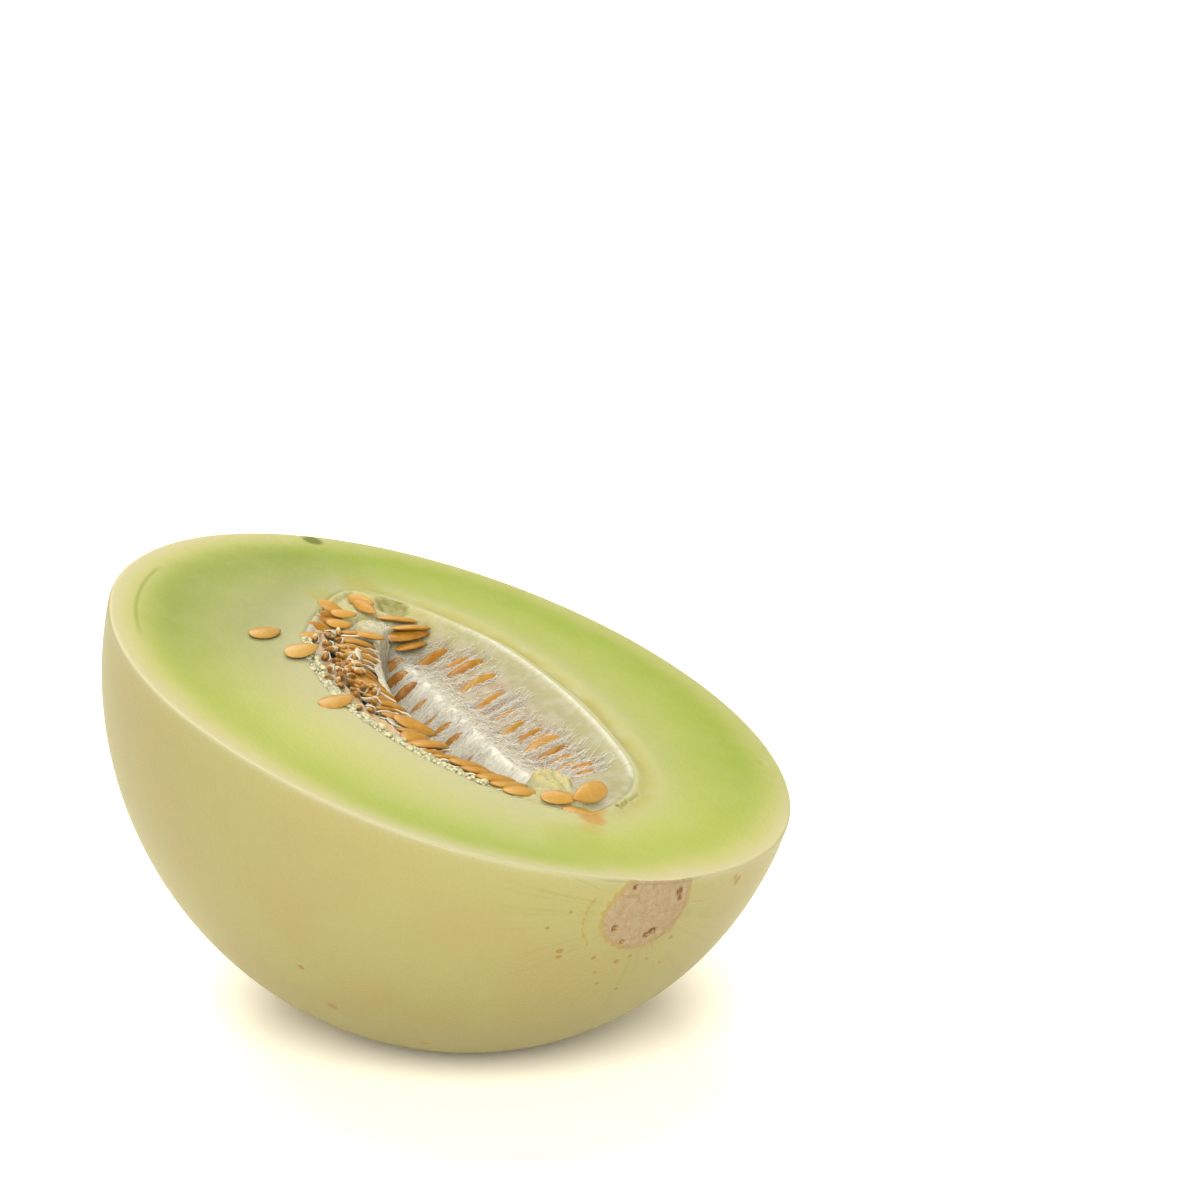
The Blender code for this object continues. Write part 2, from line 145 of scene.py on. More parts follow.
soft_light("front", -31.0, 32.0, 5.8, 40.0, (1.0, 0.99, 0.97))
soft_light("key", 165.0, 64.0, 3.6, 56.0, (1.0, 0.985, 0.96))
print("camera at", [round(c, 4) for c in camera.location])

# %% [markdown]
# ## Shader helpers
# Every finish here is a small net of nodes. These helpers add a node, set or link its
# sockets, and hand back its output, so that a material reads like a recipe.

# %% Helpers for shader nodes
SRGB_GAMMA = 2.2
BRIGHT_LIGHT = 2.5


def paint(red, green, blue, lift=1.0):
    """A colour of 0 to 255 as it looks in the bright studio, as a shader's base colour."""
    share = lift / BRIGHT_LIGHT
    return (*((c / 255) ** SRGB_GAMMA * share for c in (red, green, blue)), 1.0)


def feed(tree, socket, value):
    """Link a socket to an output, or set it to a constant."""
    if isinstance(value, bpy.types.NodeSocket):
        tree.links.new(value, socket)
    else:
        socket.default_value = value


def add_node(tree, kind, inputs=None, **settings):
    made = tree.nodes.new(kind)
    for name, value in settings.items():
        setattr(made, name, value)
    for name, value in (inputs or {}).items():
        feed(tree, made.inputs[name], value)
    return made


def maths(tree, operation, first, second=0.0, clamp=False):
    made = add_node(tree, "ShaderNodeMath", operation=operation, use_clamp=clamp)
    feed(tree, made.inputs[0], first)
    feed(tree, made.inputs[1], second)
    return made.outputs[0]


def step(tree, value, low, high):
    """A smooth mask: 0 where the value is low, 1 where it is high."""
    made = add_node(tree, "ShaderNodeMapRange", {"From Min": low, "From Max": high},
                    interpolation_type="SMOOTHSTEP")
    feed(tree, made.inputs["Value"], value)
    return made.outputs["Result"]


def mix(tree, share, first, second, blend="MIX"):
    made = add_node(tree, "ShaderNodeMix", data_type="RGBA", blend_type=blend)
    feed(tree, made.inputs[0], share)
    feed(tree, made.inputs[6], first)
    feed(tree, made.inputs[7], second)
    return made.outputs[2]


def attribute(tree, name):
    return add_node(tree, "ShaderNodeAttribute", attribute_name=name).outputs["Fac"]


def noise_value(tree, vector, scale, detail=3.0, stretch=None):
    """Noise from 0 to 1; stretch squeezes its grain along each axis."""
    if stretch:
        squeezed = add_node(tree, "ShaderNodeVectorMath", operation="MULTIPLY")
        feed(tree, squeezed.inputs[0], vector)
        squeezed.inputs[1].default_value = stretch
        vector = squeezed.outputs[0]
    made = add_node(tree, "ShaderNodeTexNoise", {"Vector": vector, "Scale": scale,
                                                 "Detail": detail})
    return made.outputs["Fac"]


def place_vector(tree, matrix):
    """Object coordinates brought into a frame of the melon, in millimetres."""
    coords = add_node(tree, "ShaderNodeTexCoord").outputs["Object"]
    mapping = add_node(tree, "ShaderNodeMapping", {"Vector": coords},
                       vector_type="TEXTURE")
    mapping.inputs["Location"].default_value = matrix.translation
    mapping.inputs["Rotation"].default_value = matrix.to_euler()
    mapping.inputs["Scale"].default_value = matrix.to_scale()
    return mapping.outputs["Vector"]


def ramp(tree, value, stops):
    """Colours along a value; stops are (value, colour) in rising order."""
    low, high = stops[0][0], stops[-1][0]
    share = add_node(tree, "ShaderNodeMapRange", {"From Min": low, "From Max": high})
    feed(tree, share.inputs["Value"], value)
    made = add_node(tree, "ShaderNodeValToRGB", {"Fac": share.outputs["Result"]})
    made.color_ramp.interpolation = "B_SPLINE"
    elements = made.color_ramp.elements
    while len(elements) < len(stops):
        elements.new(0.5)
    for element, (at, colour) in zip(elements, stops):
        element.position = (at - low) / (high - low)
    for element, (at, colour) in zip(elements, stops):
        element.color = colour
    return made.outputs["Color"]


def new_material(name):
    mat = bpy.data.materials.new(name)
    mat.use_nodes = True
    return mat, mat.node_tree, mat.node_tree.nodes["Principled BSDF"]


# %% [markdown]
# ## Two shared effects
# Flesh, pulp, rind and seeds all have blotches of slightly other colour, and all carry a
# fine relief that breaks up the gloss. Each effect is one node group, used with its own
# numbers in every material.

# %% Node groups: mottle and skin relief
def new_group(name, inputs, outputs):
    group = bpy.data.node_groups.new(name, "ShaderNodeTree")
    for label, kind in inputs:
        group.interface.new_socket(name=label, in_out="INPUT", socket_type=kind)
    for label, kind in outputs:
        group.interface.new_socket(name=label, in_out="OUTPUT", socket_type=kind)
    return group, group.nodes.new("NodeGroupInput"), group.nodes.new("NodeGroupOutput")


def make_mottle():
    group, given, result = new_group(
        "mottle",
        [("Vector", "NodeSocketVector"), ("Color", "NodeSocketColor"),
         ("Blotch Color", "NodeSocketColor"), ("Blotches per mm", "NodeSocketFloat"),
         ("Amount", "NodeSocketFloat"), ("Grain", "NodeSocketFloat")],
        [("Color", "NodeSocketColor")])
    blotch = noise_value(group, given.outputs["Vector"], given.outputs["Blotches per mm"])
    share = maths(group, "MULTIPLY", step(group, blotch, 0.42, 0.62), given.outputs["Amount"])
    blotched = mix(group, share, given.outputs["Color"], given.outputs["Blotch Color"])
    grain = noise_value(group, given.outputs["Vector"], 2.2, 4.0)
    shade = maths(group, "MULTIPLY_ADD", maths(group, "SUBTRACT", grain, 0.5),
                  given.outputs["Grain"])
    shade.node.inputs[2].default_value = 1.0
    lit = add_node(group, "ShaderNodeVectorMath", operation="SCALE")
    feed(group, lit.inputs[0], blotched)
    feed(group, lit.inputs["Scale"], shade)
    feed(group, result.inputs["Color"], lit.outputs[0])
    return group


def make_relief():
    group, given, result = new_group(
        "fine relief",
        [("Vector", "NodeSocketVector"), ("Bumps per mm", "NodeSocketFloat"),
         ("Depth", "NodeSocketFloat")],
        [("Normal", "NodeSocketVector")])
    broad = noise_value(group, given.outputs["Vector"], given.outputs["Bumps per mm"], 4.0)
    bump = add_node(group, "ShaderNodeBump", {"Strength": 1.0, "Height": broad})
    feed(group, bump.inputs["Distance"], given.outputs["Depth"])
    feed(group, result.inputs["Normal"], bump.outputs["Normal"])
    return group


MOTTLE = make_mottle()
RELIEF = make_relief()


def place_group(tree, group, inputs):
    made = tree.nodes.new("ShaderNodeGroup")
    made.node_tree = group
    for name, value in inputs.items():
        feed(tree, made.inputs[name], value)
    return made.outputs[0]


print("node groups:", [group.name for group in bpy.data.node_groups])

# %% [markdown]
# ## Helpers for pieces
# A piece is modelled in the frame of the cut and turned into place at the end, so its
# object stays at the origin. It then rides on the body, and the piece of the construction
# model it stands for is hidden.

# %% Helpers for pieces
def smoothstep(low, high, value):
    t = min(max((value - low) / (high - low), 0.0), 1.0)
    return t * t * (3 - 2 * t)


def smooth_run(points, steps, closed):
    """Points along a Catmull-Rom curve through the given ones."""
    pts = [Vector(p) for p in points]
    count = len(pts)
    run = []
    for i in range(count if closed else count - 1):
        if closed:
            a, b, c, d = (pts[(i + k) % count] for k in (-1, 0, 1, 2))
        else:
            b, c = pts[i], pts[i + 1]
            a = pts[i - 1] if i else b * 2 - c
            d = pts[i + 2] if i + 2 < count else c * 2 - b
        for k in range(steps):
            t = k / steps
            run.append((b * 2 + (c - a) * t + (a * 2 - b * 5 + c * 4 - d) * t ** 2
                        + (b * 3 - a - c * 3 + d) * t ** 3) * 0.5)
    if not closed:
        run.append(pts[-1])
    return run


def finish_piece(name, bm, mats, nodes=(), sharp=60.0):
    """Turn a modelled mesh into a piece of the melon."""
    bmesh.ops.transform(bm, matrix=CUT, verts=bm.verts)
    mesh = bpy.data.meshes.new(name)
    bm.to_mesh(mesh)
    bm.free()
    for mat in mats:
        mesh.materials.append(mat)
    mesh.shade_smooth()
    mesh.set_sharp_from_angle(angle=math.radians(sharp))
    obj = bpy.data.objects.new(name, mesh)
    scene.collection.objects.link(obj)
    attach(obj, "root")
    if nodes:
        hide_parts(*nodes)
    mesh.calc_loop_triangles()
    print(name, "has", len(mesh.loop_triangles), "triangles")
    return obj


def place_ring(bm, edges, rule):
    """Extrude a closed loop of edges and move each new point as the rule says."""
    made = bmesh.ops.extrude_edge_only(bm, edges=edges)["geom"]
    for v in (g for g in made if isinstance(g, bmesh.types.BMVert)):
        v.co = rule(v.co)
    return [g for g in made if isinstance(g, bmesh.types.BMEdge)
            and g.is_boundary]


# %% [markdown]
# ## The mouth of the cavity
# The cut opens the seed cavity along a long oval, straighter on the far side than on the
# near one. A smooth closed curve through its main points gives the edge, which both the
# flesh and the pulp are shaped by.

# %% The mouth's outline
FAR_SIDE = [(-53, 3), (-47, 13), (-38, 21), (-26, 28), (-10, 31.3), (6, 31.6),
            (22, 30), (36, 26.5), (46, 20), (53, 11), (57, 2)]
NEAR_SIDE = [(56, -5), (50, -14.5), (38, -23), (24, -29.5), (8, -32.7), (-8, -31),
             (-22, -26.5), (-33, -19.5), (-43, -11), (-50, -4)]
MOUTH_CENTRE = Vector((2.0, 0.0))
MOUTH = smooth_run(FAR_SIDE + NEAR_SIDE, 12, True)


def polar_angle(place, centre):
    return math.atan2(place.y - centre.y, place.x - centre.x)


def outline_radius(points, centre):
    """A quick rule for how far a closed outline lies from its centre at any angle."""
    polar = sorted((polar_angle(p, centre), (p.xy - centre).length) for p in points)
    turns = np.linspace(-math.pi, math.pi, 1441)
    table = np.interp(turns, *zip(*polar), period=2 * math.pi).tolist()

    def radius(angle):
        at = (angle / math.pi + 1) * 720
        low = min(int(at), 1439)
        return table[low] + (table[low + 1] - table[low]) * (at - low)
    return radius


mouth_radius = outline_radius(MOUTH, MOUTH_CENTRE)


def mouth_side(far):
    """The mouth's edge as rising x with its y, on one side."""
    left = min(range(len(MOUTH)), key=lambda i: MOUTH[i].x)
    right = max(range(len(MOUTH)), key=lambda i: MOUTH[i].x)
    loop = MOUTH[left:] + MOUTH[:left]
    turn = (right - left) % len(MOUTH)
    side = loop[:turn + 1] if far else loop[turn:]
    return tuple(zip(*sorted((p.x, p.y) for p in side)))


FAR_EDGE = mouth_side(True)
NEAR_EDGE = mouth_side(False)


def mouth_edge(x, far):
    return float(np.interp(x, *(FAR_EDGE if far else NEAR_EDGE)))


print("the mouth is", round(mouth_radius(math.pi) + mouth_radius(0.0)), "mm long")

# %% [markdown]
# ## Rind and flesh
# A melon's rind and flesh are one grown body, so this is one mesh. A sphere is turned so
# that its rings lie level with the cut, and then stretched to the melon's axes: the cut
# falls on a clean ring. From there rings are drawn inward over the cut to the mouth of
# the cavity, and down its wall. The alternative, a Boolean, would leave ragged edges.

# %% The outer body
RIM_POINTS = 520
SKIN_RINGS = 84
RIM_ROUNDING = 0.7
SCAR_CENTRE = Vector((0.7, -0.1))
SCAR_OUTLINE = [(9.1, 6.5), (2.0, 7.6), (-4.2, 7.5), (-6.3, 5.3), (-8.1, 1.9), (-9.4, -1.6),
                (-8.9, -4.3), (-6.2, -7.9), (-0.7, -10.4), (3.4, -10.3), (7.7, -7.7),
                (10.3, -3.0), (10.3, 2.0)]
SCAR_PITS = [(7.2, 3.6, 1.2), (7.9, 2.0, 0.9), (-5.5, -5.2, 1.2), (4.3, -6.2, 1.3),
             (3.0, -7.2, 1.0), (-2.2, -8.8, 0.8), (-4.5, 4.9, 0.9)]
SCAR_RISE = 0.5
CORK_LINE = smooth_run([(-12.7, 1.5), (-13.4, -1.9), (-12.3, -6.4), (-9.4, -10.5)], 6, False)
scar_radius = outline_radius([Vector(p) for p in SCAR_OUTLINE], SCAR_CENTRE)


def scar_inside(y, z):
    """How far a point of the melon's end lies inside the scar's outline."""
    place = Vector((y, z))
    return scar_radius(polar_angle(place, SCAR_CENTRE)) - (place - SCAR_CENTRE).length


def scar_rise(place):
    """Height of the scar's cork over the rind."""
    inside = scar_inside(place.y, place.z)
    rise = SCAR_RISE * smoothstep(-0.5, 1.4, inside)
    rise += 0.16 * smoothstep(0.0, 1.0, inside) * noise.noise(place * 0.7)
    rise += 0.10 * smoothstep(0.0, 1.0, inside) * noise.noise(place * 1.9)
    rise += 0.22 * math.exp(-((inside + 0.4) / 0.5) ** 2)
    for y, z, size in SCAR_PITS:
        off = math.hypot(place.y - y, place.z - z)
        rise -= 0.65 * (1 - smoothstep(0.3 * size, size, off))
    return rise


def outer_body():
    """The ovoid below the cut, in the frame of the cut, open at the top."""
    cut_normal = Matrix.Rotation(-AXIS_DIP, 3, "Y") @ Vector((0, 0, 1))
    pole = Vector([HALF_AXES[i] * cut_normal[i] for i in range(3)])
    height = -CENTRE_ABOVE_CUT / pole.length
    pole.normalize()
    ahead = (Vector((1, 0, 0)) - pole * pole.x).normalized()
    level = Matrix((ahead, pole.cross(ahead), pole)).transposed()
    bm = bmesh.new()
    bmesh.ops.create_circle(bm, segments=RIM_POINTS, radius=math.sqrt(1 - height ** 2))
    bmesh.ops.translate(bm, verts=bm.verts, vec=(0, 0, height))
    loop = bm.edges[:]
    start = math.asin(height)
    for k in range(1, SKIN_RINGS):
        fall = start + (-math.pi / 2 - start) * k / SKIN_RINGS

        def level_ring(co):
            out = co.xy.normalized() * math.cos(fall)
            return Vector((out.x, out.y, math.sin(fall)))
        loop = place_ring(bm, loop, level_ring)
    bmesh.ops.edgeloop_fill(bm, edges=loop)
    bmesh.ops.rotate(bm, verts=bm.verts, matrix=level)
    bmesh.ops.scale(bm, verts=bm.verts, vec=HALF_AXES)
    near_scar = [e for e in bm.edges if all(v.co.x > 0 and v.co.yz.length < 14.5
                                            for v in e.verts)]
    bmesh.ops.subdivide_edges(bm, edges=near_scar, cuts=2, use_grid_fill=True)
    scar_layer = bm.verts.layers.float.new("scar_mm")
    for v in bm.verts:
        v[scar_layer] = -50.0
        if v.co.x > 0 and v.co.yz.length < 20:
            off_line = min((p - v.co.yz).length for p in CORK_LINE)
            v[scar_layer] = max(scar_inside(v.co.y, v.co.z), 0.3 - 2.6 * off_line)
            wave = 1 - (v.co.y / HALF_AXES.y) ** 2 - (v.co.z / HALF_AXES.z) ** 2
            v.co.x = HALF_AXES.x * math.sqrt(wave) + scar_rise(v.co)
            v.co.x += 0.25 * math.exp(-(off_line / 0.5) ** 2)
    place = Matrix.Translation((0, 0, CENTRE_ABOVE_CUT)) @ Matrix.Rotation(AXIS_DIP, 4, "Y")
    bmesh.ops.transform(bm, matrix=place, verts=bm.verts)
    return bm


print("the scar is", round(scar_radius(0.0) + scar_radius(math.pi), 1), "mm wide")

# %% [markdown]
# The cut isn't a perfect plane. A knife leaves faint waves, the far side of the mouth
# has a shallow furrow where the flesh shrank from the pulp, and a fine crack runs out of
# the mouth at the scar end. A height for every point of the cut holds all of them.

# %% The relief of the cut
LIP_DEPTH = 0.3
FURROW_DEPTH = 1.2
FURROW_AWAY = 3.6
FURROW_HALF_WIDTH = 2.3
CRACK = [(54.7, 11.1), (53.6, 13.2), (52.4, 14.9), (50.8, 17.4), (48.8, 20.3)]
CRACK_RUN = smooth_run(CRACK, 4, False)
CUT_DENTS = [(34.6, 64.8, 1.4, 0.5), (70.4, -19.0, 0.7, 0.2), (12.0, 47.0, 0.8, 0.15)]


def far_share(angle):
    """1 round the far side of the mouth, where the furrow is, and 0 round the near one."""
    return smoothstep(-0.1, 0.5, math.sin(angle))


def cut_height(x, y):
    off = Vector((x, y)) - MOUTH_CENTRE
    angle = math.atan2(off.y, off.x)
    outside = off.length - mouth_radius(angle)
    z = 0.12 * noise.noise(Vector((x * 0.045, y * 0.045, 3.0)))
    z += 0.03 * noise.noise(Vector((x * 0.3, y * 0.3, 7.0)))
    furrow = math.exp(-((outside - FURROW_AWAY) / FURROW_HALF_WIDTH) ** 2)
    furrow *= 0.75 + 0.5 * noise.noise(Vector((x * 0.06, y * 0.06, 11.0)))
    z -= far_share(angle) * FURROW_DEPTH * furrow
    z -= LIP_DEPTH * far_share(angle) * (1 - smoothstep(0.0, 1.2, outside))
    z -= 0.35 * (1 - far_share(angle)) * (1 - smoothstep(0.0, 1.2, outside))
    if x > 44 and y > 8:
        near = min((p - Vector((x, y))).length for p in CRACK_RUN)
        z -= 0.6 * (1 - smoothstep(0.15, 0.7, near))
    for dent_x, dent_y, size, depth in CUT_DENTS:
        z -= depth * (1 - smoothstep(0.4 * size, size, math.hypot(x - dent_x, y - dent_y)))
    return z


# %% Draw the cut face and the cavity's wall
CUT_RINGS = 58
CAVITY_DEPTH = 30.0
WALL_STEPS = 8


def rind_and_flesh(rind_mat, flesh_mat):
    bm = outer_body()
    rim_layer = bm.verts.layers.float.new("rim_mm")
    mouth_layer = bm.verts.layers.float.new("mouth_mm")
    skin = set(bm.faces)
    loop = [e for e in bm.edges if e.is_boundary]
    rim_radius = outline_radius([v.co for e in loop for v in e.verts], MOUTH_CENTRE)

    def drawn_to(share):
        def rule(co):
            off = co.xy - MOUTH_CENTRE
            angle = math.atan2(off.y, off.x)
            rim, mouth = rim_radius(angle), mouth_radius(angle)
            reach = rim + (mouth - rim) * share
            x = MOUTH_CENTRE.x + reach * math.cos(angle)
            y = MOUTH_CENTRE.y + reach * math.sin(angle)
            return Vector((x, y, cut_height(x, y) * smoothstep(0.0, 0.1, share)))
        return rule

    rim_edges = list(loop)
    for k in range(1, CUT_RINGS + 1):
        even = k / CUT_RINGS
        eased = 0.5 - 0.5 * math.cos(math.pi * even)
        share = 0.035 + 0.965 * (0.45 * even + 0.55 * eased) if k > 1 else 0.035
        loop = place_ring(bm, loop, drawn_to(share))
    for k in range(1, WALL_STEPS + 1):
        fall = 0.5 * math.pi * k / (WALL_STEPS + 1)

        def wall(co):
            off = co.xy - MOUTH_CENTRE
            angle = math.atan2(off.y, off.x)
            reach = mouth_radius(angle) * math.cos(fall)
            return Vector((MOUTH_CENTRE.x + reach * math.cos(angle),
                           MOUTH_CENTRE.y + reach * math.sin(angle),
                           -1.4 - CAVITY_DEPTH * math.sin(fall)))
        loop = place_ring(bm, loop, wall)
    bmesh.ops.edgeloop_fill(bm, edges=loop)
    for face in bm.faces:
        face.material_index = 0 if face in skin else 1
    for v in bm.verts:
        off = v.co.xy - MOUTH_CENTRE
        angle = math.atan2(off.y, off.x)
        v[rim_layer] = rim_radius(angle) - off.length
        v[mouth_layer] = off.length - mouth_radius(angle)
    bmesh.ops.bevel(bm, geom=rim_edges, offset=RIM_ROUNDING, segments=3, profile=0.5,
                    affect="EDGES", material=-1)
    ground = CUT.inverted() @ Vector((0, 0, 0))
    down = CUT.to_3x3().inverted() @ Vector((0, 0, -1))
    geom = bm.verts[:] + bm.edges[:] + bm.faces[:]
    bmesh.ops.bisect_plane(bm, geom=geom, plane_co=ground, plane_no=down, clear_outer=True)
    bmesh.ops.edgeloop_fill(bm, edges=[e for e in bm.edges if e.is_boundary])
    bmesh.ops.recalc_face_normals(bm, faces=bm.faces)
    return finish_piece("rind_and_flesh_fine", bm, [rind_mat, flesh_mat],
                        ["rind_and_flesh"])


# %% [markdown]
# ## The finish of the rind
# A honeydew's rind is smooth, waxy and cream to khaki green, a little paler close to the
# cut. Lower down it is painted darker and yellower, as painted shade and painted warm
# bounce from the floor, and toward the stem end it is painted darker, as painted shade.
# Round the scar it has faint green veins, small tan marks and a thin ridge of cork, and
# the scar itself is dry tan cork with dark pits. Masks made from the place on the melon
# put each of them where it grows.

# %% Rind material
MELON = Matrix.Translation(CENTRE) @ AXES_TURN.to_4x4() @ Matrix.Scale(MM, 4)
TAN_MARKS = [(80.7, 26.1, 2.3, 1.5), (50.6, -38.9, -50.1, 1.6), (49.4, -48.9, -40.4, 0.9),
             (59.6, -19.2, -54.0, 1.2), (83.3, -14.7, -12.4, 0.9), (84.5, -0.5, -14.6, 0.9),
             (84.4, 2.2, -13.2, 0.7), (82.6, -18.6, -2.2, 0.5), (84.5, 11.2, -9.0, 0.6),
             (83.1, -14.2, -14.0, 0.8), (84.0, -16.3, -2.3, 0.5), (85.0, 9.8, -6.9, 0.5),
             (82.9, 12.4, -16.6, 0.7), (81.2, 24.7, 3.4, 0.9), (84.2, 14.1, 7.0, 0.5),
             (83.7, -4.0, -18.0, 0.6), (82.8, -1.5, -21.5, 0.6), (84.1, 7.6, -14.8, 0.6),
             (82.8, -19.5, -7.0, 0.6), (84.4, -6.5, -13.6, 0.7), (81.8, 5.0, -24.0, 0.6)]


def make_spot():
    group, given, result = new_group(
        "spot", [("Vector", "NodeSocketVector"), ("Place", "NodeSocketVector"),
                 ("Radius", "NodeSocketFloat")], [("Mask", "NodeSocketFloat")])
    away = add_node(group, "ShaderNodeVectorMath", operation="DISTANCE")
    feed(group, away.inputs[0], given.outputs["Vector"])
    feed(group, away.inputs[1], given.outputs["Place"])
    ragged = noise_value(group, given.outputs["Vector"], 1.1, 3.0)
    away = maths(group, "ADD", away.outputs["Value"], maths(group, "MULTIPLY", ragged, 1.0))
    share = maths(group, "DIVIDE", maths(group, "SUBTRACT", away, 0.5),
                  given.outputs["Radius"])
    feed(group, result.inputs["Mask"],
         maths(group, "SUBTRACT", 1.0, step(group, share, 0.5, 1.0), clamp=True))
    return group


SPOT = make_spot()


def rind_material():
    mat, tree, shader = new_material("rind")
    melon = place_vector(tree, MELON)
    cut = place_vector(tree, CUT)
    depth = maths(tree, "MULTIPLY",
                  add_node(tree, "ShaderNodeSeparateXYZ", {"Vector": cut}).outputs["Z"], -1.0)
    # Painted shade: below the pale band at the cut, the rind is painted darker and yellower with depth,
    # as shade and warm bounce from the floor.
    base = ramp(tree, depth, [(0, paint(214, 210, 176)), (1.0, paint(204, 196, 134)),
                              (2.5, paint(202, 191, 122)),
                              (8, paint(197, 186, 120)), (40, paint(194, 182, 115)),
                              (80, paint(194, 181, 92))])
    base = place_group(tree, MOTTLE, {"Vector": melon, "Color": base,
                                      "Blotch Color": paint(196, 200, 128),
                                      "Blotches per mm": 0.035, "Amount": 0.28,
                                      "Grain": 0.15})
    apart = add_node(tree, "ShaderNodeSeparateXYZ", {"Vector": melon})
    flat = add_node(tree, "ShaderNodeCombineXYZ", {"Y": apart.outputs["Y"],
                                                   "Z": apart.outputs["Z"]}).outputs[0]
    length = add_node(tree, "ShaderNodeVectorMath", operation="LENGTH")
    feed(tree, length.inputs[0], flat)
    off_axis = length.outputs["Value"]
    ray = add_node(tree, "ShaderNodeVectorMath", operation="NORMALIZE")
    feed(tree, ray.inputs[0], flat)
    scar_end = step(tree, apart.outputs["X"], 30.0, 80.0)
    veins = noise_value(tree, ray.outputs[0], 7.0, 2.0)
    thin = maths(tree, "ABSOLUTE", maths(tree, "SUBTRACT", veins, 0.5))
    vein = maths(tree, "SUBTRACT", 1.0, step(tree, thin, 0.0, 0.03))
    broken = step(tree, noise_value(tree, melon, 0.12), 0.38, 0.62)
    vein = maths(tree, "MULTIPLY", maths(tree, "MULTIPLY", vein, broken),
                 maths(tree, "MULTIPLY", step(tree, off_axis, 9.0, 13.0),
                       maths(tree, "SUBTRACT", 1.0, step(tree, off_axis, 18.0, 36.0))))
    vein = maths(tree, "MULTIPLY", vein, scar_end)
    base = mix(tree, maths(tree, "MULTIPLY", vein, 0.5), base, paint(168, 174, 96))
    marks = 0.0
    for x, y, z, size in TAN_MARKS:
        mark = place_group(tree, SPOT, {"Vector": melon, "Place": (x, y, z),
                                        "Radius": size})
        marks = maths(tree, "MAXIMUM", marks, mark)
    base = mix(tree, maths(tree, "MULTIPLY", marks, 0.75), base, paint(180, 134, 56))
    # Painted shade: the rind is darkened a little all over and most toward the stem end on the left, to
    # hold back the light that falls strongest there.
    left = step(tree, add_node(tree, "ShaderNodeSeparateXYZ", {"Vector": cut}).outputs["X"],
                10.0, -75.0)
    base = mix(tree, 1.0, base, mix(tree, left, (0.93, 0.93, 0.95, 1.0),
                                    (0.80, 0.83, 0.88, 1.0)), "MULTIPLY")
    green = place_group(tree, SPOT, {"Vector": cut, "Place": (-82.4, 5.8, -1.0), "Radius": 3.6})
    base = mix(tree, maths(tree, "MULTIPLY", green, 0.8), base, paint(110, 122, 46))
    scar_mm = maths(tree, "ADD", attribute(tree, "scar_mm"),
                    maths(tree, "MULTIPLY",
                          maths(tree, "SUBTRACT", noise_value(tree, melon, 0.9), 0.5), 2.6))
    halo = maths(tree, "MULTIPLY", step(tree, scar_mm, -0.9, -0.2),
                 maths(tree, "SUBTRACT", 1.0, step(tree, scar_mm, 0.2, 0.9)))
    cork = place_group(tree, MOTTLE, {"Vector": melon, "Color": paint(190, 170, 134),
                                      "Blotch Color": paint(184, 158, 116),
                                      "Blotches per mm": 0.6, "Amount": 0.7,
                                      "Grain": 0.35})
    pits = 0.0
    for y, z, size in SCAR_PITS:
        pit = place_group(tree, SPOT, {"Vector": melon, "Place": (85.6, y, z),
                                       "Radius": size})
        pits = maths(tree, "MAXIMUM", pits, pit)
    pits = maths(tree, "MULTIPLY", pits, step(tree, noise_value(tree, melon, 1.5), 0.36, 0.52))
    cork = mix(tree, maths(tree, "MULTIPLY", pits, 0.85), cork, paint(142, 94, 36))
    cells = add_node(tree, "ShaderNodeTexVoronoi", {"Vector": melon, "Scale": 0.30},
                     feature="DISTANCE_TO_EDGE").outputs["Distance"]
    cracks = maths(tree, "SUBTRACT", 1.0, step(tree, cells, 0.0, 0.035))
    cork = mix(tree, maths(tree, "MULTIPLY", cracks, 0.35), cork, paint(150, 118, 74))
    on_scar = step(tree, scar_mm, 0.0, 0.5)
    base = mix(tree, maths(tree, "MULTIPLY", halo, 0.65), base, paint(186, 150, 70))
    base = mix(tree, on_scar, base, cork)
    feed(tree, shader.inputs["Base Color"], base)
    rough = maths(tree, "MULTIPLY_ADD", on_scar, 0.35)
    rough.node.inputs[2].default_value = 0.47
    feed(tree, shader.inputs["Roughness"], rough)
    feed(tree, shader.inputs["Normal"],
         place_group(tree, RELIEF, {"Vector": melon, "Bumps per mm": 1.4,
                                    "Depth": 0.00009}))
    shader.inputs["Specular IOR Level"].default_value = 0.25
    shader.inputs["Subsurface Weight"].default_value = 0.35
    shader.inputs["Subsurface Radius"].default_value = (0.004, 0.0035, 0.0012)
    shader.inputs["Subsurface Scale"].default_value = 1.0
    return mat


# %% [markdown]
# ## The finish of the flesh
# Under the rind the flesh starts cream, turns to its strongest green about a centimetre
# in, and pales to cream again round the cavity. The distance from the rim was stored on
# the mesh, so one colour ramp tells that story, and streaks that radiate from the cavity
# break it up. It is moist and lets light in, so it has soft gloss and subsurface light.

# %% Flesh material
FLESH_MARKS = [((-82.4, 5.8, 0), 3.4, 0.85, paint(110, 122, 46)),
               ((56.4, 3.0, 0), 4.0, 0.7, paint(222, 174, 96)),
               ((60.4, 0.6, 0), 4.0, 0.8, paint(214, 160, 84)),
               ((65.0, -2.6, 0), 3.6, 0.5, paint(206, 182, 98)),
               ((69.0, -9.0, 0), 9.0, 0.3, paint(182, 190, 84)),
               ((54.7, 11.1, 0), 1.3, 0.7, paint(150, 128, 48)),
               ((53.6, 13.2, 0), 1.2, 0.6, paint(160, 140, 60)),
               ((52.4, 14.9, 0), 1.2, 0.6, paint(160, 140, 60)),
               ((-56.0, 6.0, 0), 7.0, 0.5, paint(186, 182, 78)),
               ((-48.0, -9.0, 0), 5.5, 0.5, paint(190, 186, 84))]


